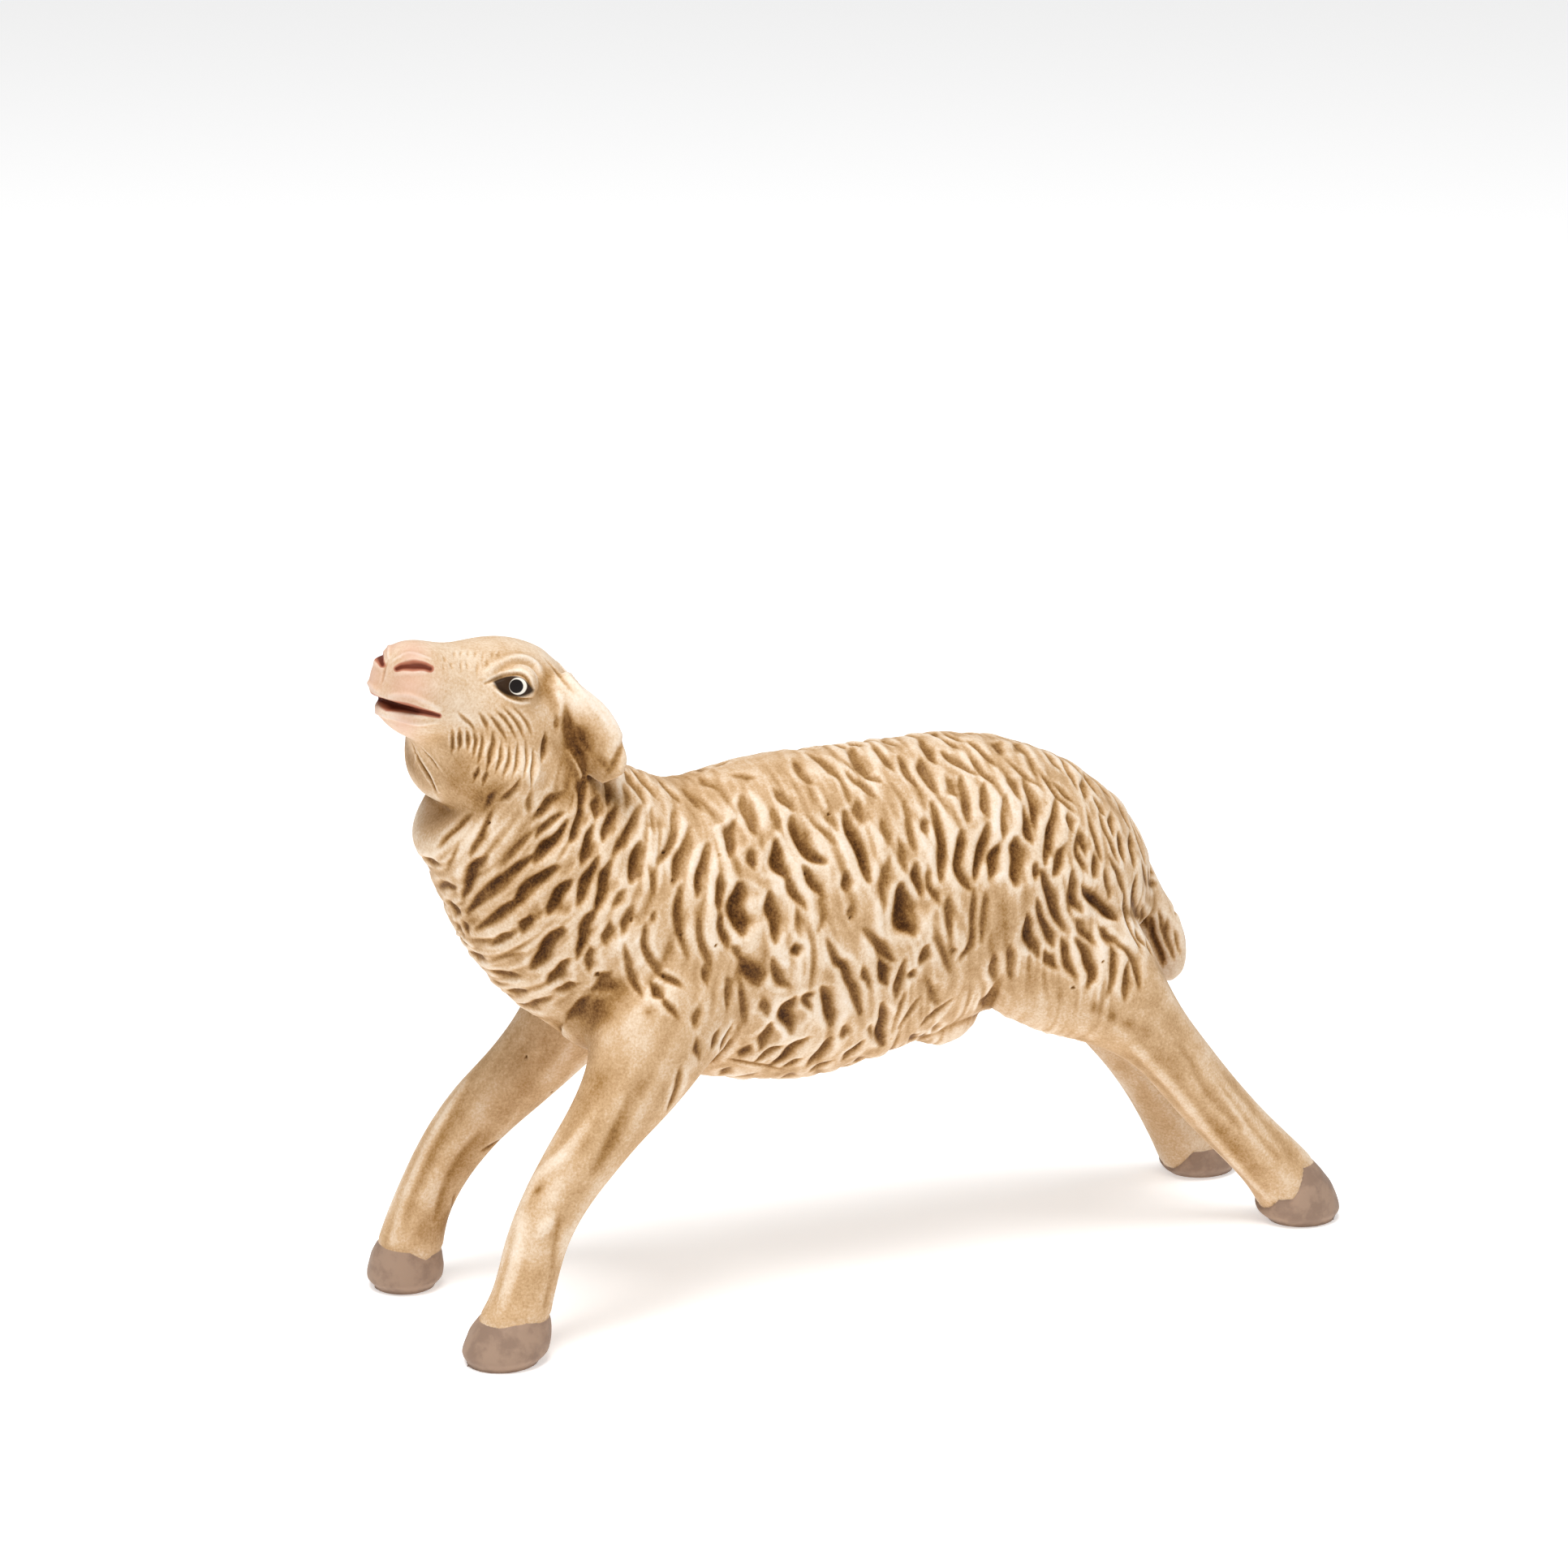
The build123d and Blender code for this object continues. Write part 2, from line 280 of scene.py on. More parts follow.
def softSpot(xy, x, y, radius):
    return np.exp(-((xy - (x, y)) ** 2).sum(axis=1) / radius ** 2)


def softSpots(spots, xy):
    weight = np.zeros(len(xy))
    for x, y, radius in spots:
        weight = np.maximum(weight, softSpot(xy, x, y, radius))
    return weight


def seenAsNear(surface):
    # where each point or its near mirror image is in the photograph, and how squarely it is seen
    points, normals = twin(surface.co, surface.normals)
    return photoXy(points), normals @ -ahead


def refineFace(surface):
    xy, facing = seenAsNear(surface)
    fine = isHead(surface.co) & np.all(xy < skin["fineFace"], axis=1) & (facing > -0.3)
    deselectAll()
    bpy.context.view_layer.objects.active = surface.obj
    bpy.ops.object.mode_set(mode="EDIT")
    work = bmesh.from_edit_mesh(surface.obj.data)
    bpy.context.tool_settings.mesh_select_mode = (False, False, True)
    bpy.ops.mesh.select_all(action="DESELECT")
    for face in work.faces:
        if all(fine[v.index] for v in face.verts):
            face.select = True
    bmesh.update_edit_mesh(surface.obj.data)
    bpy.ops.mesh.subdivide(number_cuts=1, ngon=False, quadcorner="INNERVERT")
    bpy.ops.object.mode_set(mode="OBJECT")
    return Surface(surface.obj)


sheep = Surface(makeSkin("sheepSkin", outerNodes, skin["voxel"]))
sheep.relax(skin["passes"], np.full(sheep.count, 0.5))
sheep = refineFace(sheep)
faceXy = seenAsNear(sheep)[0]
sheep.relax(skin["facePasses"], 0.5 * (isHead(sheep.co) & (faceXy[:, 0] < skin["faceEdge"])))
rootWeight = np.zeros(sheep.count)
for point, _, _ in legRoots.values():
    near = np.linalg.norm(sheep.co - np.array(point), axis=1)
    rootWeight = np.maximum(rootWeight, 0.5 * (1 - smoothStep(0.45, 1.0, near / skin["rootReach"])))
sheep.relax(skin["rootPasses"], rootWeight)

# the cheeks run into the neck without a fold: x, y and radius in the photograph
throatSpots = [
    (600, 915, 36), (640, 930, 40), (600, 985, 42), (650, 990, 46), (570, 985, 26), (565, 935, 26),
    (690, 965, 34), (600, 950, 40), (550, 1000, 20),
]
eyeSpots = [(637, 846, 26)]
earSpots = [(708, 823, 28), (694, 842, 15), (690, 812, 20)]
twinXy, facing = seenAsNear(sheep)
seenSelf = sheep.normals @ -ahead
nearHalf = (sheep.co - collarPoint) @ headLeft > 0
behindThroat, belowThroat = skin["throatBox"]
aroundHead = (sheep.co[:, 0] < behindThroat) & (sheep.co[:, 2] > belowThroat)
throatWeight = softSpots(throatSpots, twinXy) * smoothStep(-0.1, 0.25, facing) * aroundHead
throatWeight *= np.where(nearHalf, 1, 1 - smoothStep(-0.25, 0.05, seenSelf))
sheep.relax(skin["throatPasses"], 0.5 * throatWeight)
eyeWeight = softSpots(eyeSpots, twinXy) * (facing > 0) * isHead(sheep.co)
sheep.relax(skin["eyePasses"], 0.5 * eyeWeight)
earWeight = softSpots(earSpots, twinXy) * (facing > -0.75) * isHead(sheep.co)
sheep.relax(skin["earPasses"], 0.5 * earWeight)
# the shoulders and thighs rise out of the body without a ledge
shoulderSpots = [
    (740, 1218, 28), (780, 1200, 32), (830, 1198, 32), (880, 1198, 32), (925, 1200, 26), (735, 1238, 30),
    (712, 1246, 24), (1290, 1200, 30), (1340, 1190, 30), (1385, 1200, 26), (1345, 1270, 30),
    (1362, 1245, 28), (1328, 1285, 28), (1378, 1225, 24), (1300, 1262, 26),
]
shoulderWeight = softSpots(shoulderSpots, twinXy) * (facing > 0) * ~isHead(sheep.co)
sheep.relax(skin["shoulderPasses"], 0.5 * shoulderWeight)
# where a web joins the chest to the near front leg
foldWeight = np.exp(-((sheep.co - skin["foldPlace"]) ** 2).sum(axis=1) / skin["foldReach"] ** 2)
# the chest swells out of the throat without a rim
outFront = np.cross(collarNormal, (0, 1, 0))
fromCollar = sheep.co - collarPoint
fromRim = np.abs(fromCollar @ collarNormal - skin["chestPlace"])
chestWeight = 1 - smoothStep(*skin["chestBand"], fromRim)
chestWeight *= smoothStep(*skin["chestFront"], fromCollar @ outFront)
sheep.relax(skin["chestPasses"], 0.5 * chestWeight)
print("stage: skin,", sheep.count, "points")

# strokes traced over the photograph: width in pixels, grade of depth, then x, y down the stroke
fleeceStrokes = [
    # neck and chest
    (7, 1.3, 604, 1005, 592, 1030, 582, 1052), (8, 1, 576, 1008, 556, 1026, 544, 1040),
    (4, 0.8, 562, 1048, 552, 1068), (12, 2, 596, 1060, 580, 1080, 572, 1102),
    (12, 1.8, 655, 1058, 625, 1080, 600, 1100, 580, 1122),
    (12, 2.4, 683, 1072, 660, 1085, 648, 1097, 636, 1112), (9, 1.6, 636, 1110, 615, 1128, 592, 1142),
    (12, 2.6, 700, 1015, 690, 1030, 675, 1045, 662, 1058), (8, 1.4, 690, 1005, 675, 1015, 664, 1028),
    (5, 0.9, 650, 1028, 635, 1046, 615, 1070), (15, 2.7, 700, 1090, 690, 1105, 680, 1122),
    (11, 2.5, 716, 1000, 712, 1020, 706, 1032), (7, 1.8, 718, 962, 716, 985, 714, 1000),
    (9, 1.7, 737, 985, 735, 1005), (11, 2.5, 730, 1022, 726, 1040, 720, 1060),
    (8, 1.6, 757, 1000, 750, 1015, 745, 1032), (10, 1.7, 787, 998, 778, 1018, 768, 1035, 762, 1045),
    (12, 2.5, 736, 1060, 730, 1075, 722, 1095, 714, 1110),
    (13, 2.7, 750, 1070, 746, 1085, 742, 1105, 738, 1118), (13, 3, 788, 1044, 785, 1060, 780, 1080),
    (8, 1, 768, 1100, 757, 1115), (6, 1.2, 800, 1065, 805, 1085, 806, 1096),
    (11, 2.4, 733, 1125, 722, 1145, 718, 1160, 714, 1175), (10, 1.4, 752, 1140, 748, 1160),
    (17, 3, 690, 1150, 678, 1165, 668, 1180, 660, 1190), (12, 2.4, 697, 1188, 688, 1200, 680, 1208),
    (7, 1.6, 628, 1152, 610, 1162), (9, 1.6, 728, 1172, 726, 1192), (3, 0.8, 644, 1174, 620, 1180),
    (6, 1.5, 770, 1168, 775, 1190, 783, 1212, 788, 1222),
    (7, 1.7, 795, 1145, 795, 1165, 803, 1185, 812, 1198), (10, 0.9, 722, 1232, 712, 1242, 702, 1252),
    (9, 2.2, 805, 1215, 816, 1228), (5, 1.5, 818, 1232, 833, 1250),
    (6, 1.5, 815, 1202, 826, 1207, 836, 1213),
    # flank
    (12, 3, 904, 1016, 902, 1030, 900, 1048), (12, 2, 916, 985, 922, 1002, 930, 1022),
    (17, 3, 958, 1040, 962, 1060, 970, 1078), (9, 2, 970, 1078, 980, 1098, 990, 1115),
    (18, 3, 978, 1012, 985, 1030, 998, 1048, 1012, 1058), (7, 1, 998, 1008, 1012, 1020, 1028, 1036),
    (10, 2, 992, 1070, 1002, 1085, 1012, 1100),
    (15, 3, 1044, 1005, 1050, 1020, 1058, 1040, 1066, 1065, 1070, 1080), (8, 2, 1044, 1078, 1043, 1095),
    (6, 1, 1050, 1118, 1048, 1132), (9, 1.5, 830, 1005, 832, 1025, 825, 1045, 816, 1058),
    (12, 2, 848, 1025, 844, 1045, 838, 1065, 832, 1082),
    (10, 2.5, 872, 1045, 868, 1060, 863, 1080, 860, 1098), (10, 2.5, 888, 1085, 888, 1105, 887, 1120),
    (9, 2, 888, 1125, 890, 1145, 896, 1162), (6, 1.5, 905, 1168, 912, 1178),
    (26, 3.5, 912, 1095, 912, 1120, 916, 1145), (15, 2.5, 950, 1105, 955, 1125, 956, 1155),
    (12, 2, 955, 1186, 959, 1202, 969, 1212), (26, 1.3, 918, 1186, 930, 1195, 935, 1208),
    (9, 1.5, 926, 1050, 928, 1065), (8, 1.5, 838, 1100, 837, 1125, 838, 1150, 845, 1172),
    (7, 1.5, 862, 1140, 866, 1165, 875, 1188), (6, 1, 870, 1190, 872, 1210), (4, 1, 806, 1125, 803, 1135),
    (14, 1, 805, 1000, 806, 1020), (13, 2, 1050, 920, 1058, 938, 1068, 955, 1078, 960),
    (5, 1.5, 1022, 915, 1040, 920), (10, 1, 1000, 930, 1015, 940, 1030, 955),
    (9, 1.2, 980, 940, 990, 955, 1000, 963), (8, 1.5, 1044, 952, 1060, 965, 1075, 978),
    (12, 0.8, 905, 955, 925, 958), (10, 0.7, 865, 960, 880, 970), (6, 0.8, 845, 975, 862, 995),
    (6, 0.8, 815, 965, 835, 985), (10, 1.5, 1078, 920, 1085, 928, 1098, 945),
    (5, 1.5, 1072, 905, 1098, 915), (6, 0.6, 1010, 1105, 1015, 1130, 1008, 1145),
    (14, 1, 1095, 1060, 1092, 1090, 1090, 1120), (8, 0.6, 982, 1120, 985, 1150),
    (8, 2.5, 982, 1165, 983, 1175),
    # hindquarter
    (26, 3.5, 1114, 1095, 1115, 1120, 1125, 1145), (10, 2.5, 1130, 1070, 1132, 1085, 1137, 1102),
    (9, 1.5, 1145, 1072, 1147, 1092, 1155, 1108),
    (12, 2.5, 1150, 995, 1158, 1015, 1163, 1035, 1162, 1055, 1161, 1078),
    (10, 1.5, 1140, 1010, 1142, 1024), (11, 2, 1186, 962, 1190, 980, 1193, 1005),
    (13, 2.5, 1186, 1030, 1183, 1050, 1183, 1070, 1192, 1090),
    (11, 3, 1217, 1022, 1215, 1040, 1207, 1060, 1203, 1078),
    (15, 2.5, 1232, 1042, 1228, 1058, 1223, 1076), (20, 2.5, 1255, 1038, 1256, 1060, 1254, 1085),
    (9, 2, 1213, 970, 1214, 990, 1217, 1000), (8, 1.8, 1240, 985, 1238, 1005, 1238, 1030),
    (12, 2.2, 1265, 965, 1272, 980, 1278, 1000, 1278, 1015),
    (11, 1.8, 1264, 1000, 1268, 1020, 1272, 1035),
    (11, 2.2, 1302, 990, 1300, 1010, 1294, 1035, 1290, 1058),
    (12, 1.5, 1312, 1045, 1305, 1065, 1300, 1078), (9, 2, 1278, 1065, 1278, 1080),
    (13, 3, 1288, 1078, 1294, 1098, 1302, 1118, 1310, 1140),
    (17, 2.2, 1324, 1080, 1325, 1100, 1332, 1118), (6, 1.5, 1312, 1085, 1316, 1105, 1322, 1130),
    (13, 3.2, 1340, 1096, 1352, 1111, 1371, 1127), (12, 2.2, 1281, 1114, 1287, 1132, 1296, 1160),
    (12, 3, 1268, 1133, 1270, 1150, 1277, 1172),
    (12, 2.6, 1329, 1161, 1341, 1175, 1347, 1198, 1343, 1210),
    (10, 1.5, 1310, 1160, 1316, 1180, 1324, 1202), (10, 1.8, 1358, 1147, 1366, 1156, 1375, 1160),
    (9, 1.5, 1330, 1137, 1340, 1152, 1350, 1163),
    (7, 1.4, 1377, 1163, 1390, 1172, 1399, 1186, 1403, 1212),
    (8, 1.3, 1370, 1164, 1374, 1182, 1372, 1204, 1366, 1222),
    (8, 1.5, 1391, 1187, 1388, 1205, 1387, 1226), (5, 1.3, 1288, 1180, 1293, 1187, 1299, 1188),
    (9, 2, 1165, 928, 1180, 938, 1200, 950), (8, 1.8, 1137, 915, 1145, 928, 1150, 935),
    (12, 1.8, 1136, 940, 1142, 955, 1152, 970), (8, 1.5, 1110, 935, 1118, 952, 1125, 962),
    (6, 1.5, 1195, 915, 1215, 930, 1222, 938), (7, 1.5, 1198, 935, 1210, 950, 1220, 960),
    (5, 1.2, 1162, 910, 1180, 920), (5, 1, 1155, 900, 1185, 912), (5, 1, 1245, 940, 1262, 955, 1278, 965),
    (6, 1.5, 1285, 955, 1300, 975, 1320, 995), (5, 1.2, 1300, 965, 1320, 985),
    (8, 1.5, 1318, 1005, 1322, 1020), (7, 1.3, 1330, 1025, 1328, 1050, 1338, 1070),
    (10, 1.5, 1335, 1030, 1338, 1050), (7, 1.5, 1350, 985, 1360, 1000), (8, 1.5, 1370, 1005, 1372, 1025),
    (6, 1.3, 1350, 1055, 1350, 1078), (6, 1.3, 1370, 1060, 1380, 1080, 1386, 1100),
    (9, 1.5, 1380, 1030, 1385, 1055), (10, 1.5, 1400, 1085, 1398, 1110, 1405, 1130),
    (7, 2, 1386, 1105, 1388, 1128, 1394, 1145, 1402, 1160), (5, 1, 1340, 1000, 1350, 1030, 1358, 1060),
    (5, 1, 1355, 1000, 1368, 1035, 1378, 1060), (6, 1, 1362, 1075, 1368, 1100, 1365, 1115),
    (8, 1.2, 1170, 1110, 1170, 1130, 1172, 1148),
    (7, 1.3, 1200, 1100, 1200, 1130, 1198, 1160, 1185, 1178), (8, 1, 1215, 1105, 1212, 1135, 1210, 1155),
    (8, 1, 1245, 1170, 1245, 1200), (8, 1.5, 1290, 1175, 1300, 1190), (5, 1.5, 1175, 1170, 1176, 1173),
    # tail
    (13, 2.6, 1419, 1138, 1420, 1150, 1427, 1165, 1432, 1186),
    (11, 2, 1440, 1138, 1441, 1158, 1446, 1178), (6, 1.2, 1412, 1158, 1418, 1173),
    (6, 1.5, 1401, 1148, 1410, 1163), (8, 1.6, 1430, 1128, 1436, 1150, 1440, 1165),
    (7, 1.4, 1408, 1120, 1412, 1140, 1416, 1150), (6, 1.2, 1450, 1150, 1454, 1172),
    # belly
    (9, 2.3, 1022, 1163, 1032, 1184, 1041, 1192, 1046, 1206, 1053, 1218, 1056, 1231, 1059, 1243),
    (10, 2, 1086, 1188, 1089, 1201, 1092, 1209), (8, 2, 1114, 1188, 1109, 1208, 1106, 1225),
    (10, 1.8, 1143, 1169, 1136, 1184), (7, 1.5, 1126, 1196, 1122, 1204),
    (12, 3, 1088, 1243, 1089, 1253, 1087, 1272, 1088, 1284), (17, 2.6, 978, 1235, 972, 1247, 975, 1268),
    (8, 1.5, 1002, 1225, 994, 1231, 999, 1243), (14, 2.8, 1016, 1223, 1023, 1237, 1023, 1247, 1024, 1257),
    (13, 2, 950, 1266, 947, 1276, 940, 1290), (7, 1.8, 960, 1292, 946, 1299, 935, 1306),
    (11, 2, 991, 1282, 980, 1291, 967, 1303, 955, 1311), (11, 1.8, 1022, 1284, 1012, 1296, 999, 1309),
    (6, 1.3, 985, 1305, 969, 1314), (9, 1.8, 1060, 1286, 1049, 1297, 1043, 1303),
    (8, 1.5, 1020, 1309, 1002, 1318), (8, 1.2, 1042, 1264, 1039, 1276), (6, 1.2, 1073, 1264, 1074, 1279),
    (9, 1.2, 886, 1272, 880, 1288), (6, 1, 897, 1208, 897, 1235), (7, 1, 913, 1208, 915, 1233, 918, 1255),
    (12, 1, 925, 1290, 915, 1300), (4, 0.8, 900, 1305, 935, 1312, 960, 1318),
    (5, 1, 1115, 1225, 1100, 1275), (5, 1, 1130, 1235, 1110, 1265), (8, 1, 1170, 1235, 1140, 1260),
    # shoulder and upper front leg
    (9, 0.8, 859, 1283, 862, 1302), (9, 1.2, 838, 1322, 836, 1340, 826, 1362),
    (5, 0.8, 858, 1335, 850, 1355), (4, 0.8, 866, 1195, 868, 1205, 872, 1212),
]
legStrokes = [
    (7, 1.0, 594, 1419, 612, 1408, 632, 1400), (18, 0.5, 590, 1398, 560, 1436, 536, 1500),
    (5, 0.6, 560, 1470, 556, 1510), (24, 0.45, 775, 1350, 758, 1400, 730, 1448),
    (16, 0.35, 690, 1500, 682, 1560, 672, 1615), (8, 0.4, 668, 1462, 655, 1472),
    (20, 0.4, 1455, 1290, 1490, 1340, 1530, 1390), (12, 0.4, 1500, 1330, 1545, 1390, 1580, 1430),
]
# pits of the casting: x, y, radius
pinholes = [
    (736, 1201, 2.8), (779, 1134, 1.6), (664, 998, 1.6), (602, 1014, 2), (1022, 1002, 1.6),
    (819, 1049, 2), (830, 1084, 1.6), (887, 1053, 1.4), (993, 1076, 1.6), (1049, 1131, 1.6),
    (840, 1153, 1.6), (882, 1164, 1.4), (818, 1203, 2), (680, 1345, 1.6), (648, 1303, 1.6),
    (1323, 1217, 2), (1360, 1185, 1.4),
]
# flat brown stains of the wash, some of them painted shade: x, y, radius, strength
washAndShadeStains = [
    (738, 1248, 18, 0.3), (712, 1243, 12, 0.14), (925, 1196, 15, 0.45), (1240, 1130, 40, 0.22),
    (800, 1247, 5, 0.4), (1349, 1241, 6, 0.45), (1371, 1253, 6, 0.35), (1391, 1262, 8, 0.32),
    # painted shade: (764, 1400) and (680, 1560) darken the shaded right side of the near front leg
    (1305, 1228, 5, 0.3), (1410, 1268, 10, 0.2), (764, 1400, 30, 0.14), (664, 1464, 12, 0.12),
    (680, 1560, 26, 0.1), (1440, 1330, 34, 0.1), (1560, 1440, 26, 0.12), (1500, 1400, 30, 0.08),
    (1090, 1190, 14, 0.25), (760, 1215, 16, 0.22), (690, 1335, 22, 0.2), (780, 1335, 22, 0.14),
    (530, 1012, 40, 0.16), (706, 1284, 32, 0.2), (880, 940, 60, -0.05), (960, 920, 60, -0.05),
]
# the same on the far front leg
farStains = [
    (556, 1440, 26, 0.2), (600, 1412, 18, 0.16), (525, 1515, 26, 0.14), (560, 1500, 20, 0.14),
    (610, 1350, 70, 0.1), (520, 1480, 50, 0.1),
]
carving = {
    "gradeDepth": 0.34,  # mm of depth for one grade
    "widen": 1.5,  # the dark lines were traced; the grooves round them are wider
    "tail": 5,  # pixels that a stroke runs on beyond its dark line, at most
    "tailShare": 0.2,
    "jump": 3.0,  # mm; a longer step along a stroke has left the surface it is on
    "reach": 3.2,  # half widths over which a groove, its valley and its rims act
    "margin": 0.2,
    "edges": (-1.1, 1.2),  # where a groove starts on its steep and its soft side, in half widths
    "steepSide": -0.35,  # where its deepest line lies
    "valley": 0.35,  # share of the depth that lies in a wide soft valley along the groove
    "valleyMiddle": 0.2,
    "valleyWidth": 1.4,
    "rim": 0.13,  # how far the wool stands up beside a groove, as a share of its depth
    "rimMiddle": 0.15,
    "rimPlace": 2.0,
    "rimWidth": 0.6,
    "rimDepths": (0.02, 0.2),  # mm of depth over which a groove takes a rim away that crosses it
    "ends": 0.05,  # how blunt a groove starts and stops
    "endReach": (0.1, 0.5),  # mm beyond its line over which it fades
    "foldEnds": 0.06,
    "wobble": 0.15,  # how much the width and the middle of a groove waver
    "waves": (6, 8),  # and how often along it, in radians
    "facing": 0.2,  # a groove cuts only what faces its own way
    "pitDepth": 0.25,
    "soften": 3,  # passes that round the edges of the grooves
    "faceShare": 0.8,  # the face is carved less deep than its traced grades
    "farJitter": 0.8,  # mm that a stroke on the far side strays from the near one
    "farFaceJitter": 0.1,
    "farChange": (0.85, 1.15),  # its width and grade, as shares of the near one's
    "onMiddle": 2.0,  # mm; a stroke nearer than this to its mirror image has none
}
# how dark the brown wash lies, with painted shade and light laid into it, from 0 for wiped off to 1
washAndShading = {
    # painted shade: the darkest place lies on a groove's steep wall, which faces away from the light; the
    # rest is the wash in the groove
    "line": (-1.05, -0.5, 0.6),  # start, darkest place and end across a groove, in half widths
    "shadeLineShare": 0.58,
    "bowlShare": 0.17,
    "fullGrade": 3.2,
    "soften": 3,  # passes on top of those for the carving
    "darkStrengths": {"fleece": 1.0, "fill": 0.8, "face": 0.55, "legs": 0.25},
    # painted light: the fleece is made paler where it faces up, as if lit from above
    "paintedTopLight": (0.65, 0.33),  # the share and the amount that the back has less
    "topSlope": (0.35, 0.9),
    "hollowPasses": (5, 64),
    "hollowSteps": ((0.3, -0.1, 0.08), (0.6, -0.24, 0.16)),  # mm for a full step, least and most
    "ground": 0.46,
    "stray": 0.12,
    "legs": 0.05,
    "head": -0.17,
    "slowFrom": 0.6,
}


def tracedLine(points, step=1.4):
    marks = np.array(points, float).reshape(-1, 2)
    ends = np.vstack([2 * marks[0] - marks[1], marks, 2 * marks[-1] - marks[-2]])
    line = []
    for before, start, stop, after in zip(ends, ends[1:], ends[2:], ends[3:]):
        count = max(2, int(np.linalg.norm(stop - start) / step))
        t = (np.arange(count) / count)[:, None]
        squared = (2 * before - 5 * start + 4 * stop - after) * t ** 2
        cubed = (3 * start - before - 3 * stop + after) * t ** 3
        line.append(0.5 * (2 * start + (stop - before) * t + squared + cubed))
    return np.vstack([*line, marks[-1:]])


def groove(points, normals, width, grade, side):
    tangents = unit(np.gradient(points, axis=0))
    lateral = unit(np.cross(normals, tangents))
    lateral *= np.sign(lateral.mean(axis=0) @ side) or 1
    return {"points": points, "normals": normals, "tangents": tangents, "lateral": lateral,
            "width": width, "grade": grade, "phase": rng.uniform(0, 2 * math.pi)}


def withTails(marks):
    # a stroke of the tool starts and ends a little beyond the dark line
    marks = np.array(marks, float).reshape(-1, 2)
    first, last = marks[0] - marks[1], marks[-1] - marks[-2]
    tail = min(carving["tail"], carving["tailShare"] * np.linalg.norm(marks[-1] - marks[0]))
    return np.vstack([marks[0] + tail * unit(first), marks, marks[-1] + tail * unit(last)])


def layOnSkin(tree, traced, widen=1.0):
    laid = []
    for width, grade, *marks in traced:
        hits = []
        if widen > 1:
            marks = withTails(marks)
        for x, y in tracedLine(marks):
            place, normal, _, _ = tree.ray_cast(Vector(eyePoint), Vector(photoRay(x, y)))
            if place is not None and (not hits or (place - hits[-1][0]).length < carving["jump"]):
                hits.append((place, normal))
        if len(hits) > 2:
            laid.append(groove(np.array([p for p, n in hits]), np.array([n for p, n in hits]),
                               width * pixel * widen, grade, shadeSide))
    return laid


def onFarSide(tree, grooves, mirror, mirrorVector, jitter):
    far, side = [], mirrorVector(shadeSide[None])[0]
    for g in grooves:
        middle = mirror(g["points"]).mean(axis=0)
        if np.linalg.norm(middle - g["points"].mean(axis=0)) < carving["onMiddle"]:
            continue  # a stroke on the middle line is there already
        stray = rng.normal(0, jitter, 3)
        points, normals = [], []
        for p in mirror(g["points"]) + stray:
            place, normal, _, _ = tree.find_nearest(Vector(p))
            points.append(place)
            normals.append(normal)
        width = g["width"] * rng.uniform(*carving["farChange"])
        grade = g["grade"] * rng.uniform(*carving["farChange"])
        far.append(groove(np.array(points), np.array(normals), width, grade, side))
    return far


def nearGroove(surface, g, reach):
    # the points near a groove, the step of its line nearest to each, and the way from there
    low, high = g["points"].min(axis=0) - reach, g["points"].max(axis=0) + reach
    near = np.flatnonzero(np.all((surface.co > low) & (surface.co < high), axis=1))
    offset = surface.co[near][:, None, :] - g["points"][None]
    closest = np.argmin((offset ** 2).sum(axis=2), axis=1)
    return near, closest, offset[np.arange(len(near)), closest]


def tapered(run, ends):
    return np.sin(math.pi * (ends + (1 - 2 * ends) * run)) ** 0.6


def hump(low, top, high, x):
    return np.where(x < top, smoothStep(low, top, x), 1 - smoothStep(top, high, x))


def carve(surface, grooves, darkStrength, depth, rim, washAndShade):
    for g in grooves:
        half = g["width"] / 2
        near, closest, offset = nearGroove(surface, g, half * carving["reach"] + carving["margin"])
        facing = (surface.normals[near] * g["normals"][closest]).sum(axis=1) > carving["facing"]
        along = (offset * g["tangents"][closest]).sum(axis=1)
        run = closest / (len(g["points"]) - 1)
        taper = tapered(run, carving["ends"])
        widthWaves, middleWaves = carving["waves"]
        waver = carving["wobble"] * np.sin(g["phase"] + widthWaves * run)
        x = (offset * g["lateral"][closest]).sum(axis=1) / (half * taper * (1 + waver))
        x += carving["wobble"] * np.sin(2 * g["phase"] + middleWaves * run)
        steep, soft = carving["edges"]
        bowl = hump(steep, carving["steepSide"], soft, x)
        valley = np.exp(-((x - carving["valleyMiddle"]) / carving["valleyWidth"]) ** 2)
        stand = np.abs(x - carving["rimMiddle"]) - carving["rimPlace"]
        stand = np.exp(-(stand / carving["rimWidth"]) ** 2)
        inEnds = 1 - smoothStep(*carving["endReach"], np.abs(along))
        grade = g["grade"] * taper ** 0.8 * inEnds * facing
        share = carving["valley"]
        hollow = ((1 - share) * bowl + share * valley) * grade * carving["gradeDepth"]
        depth[near] = np.maximum(depth[near], hollow)
        rim[near] = np.maximum(rim[near], stand * grade * carving["gradeDepth"] * carving["rim"])
        tone = np.clip(grade / washAndShading["fullGrade"], 0, 1)
        # the strip along the steep wall is painted shade, the share in the bowl is the wash lying in the
        # groove
        dark = washAndShading["shadeLineShare"] * hump(*washAndShading["line"], x) * tone
        dark += washAndShading["bowlShare"] * bowl * tone ** 0.6
        washAndShade[near] = np.maximum(washAndShade[near], darkStrength * dark)


def stainAndShade(washAndShade, spots, xy, seen):
    for x, y, radius, strength in spots:
        washAndShade += seen * strength * softSpot(xy, x, y, radius)


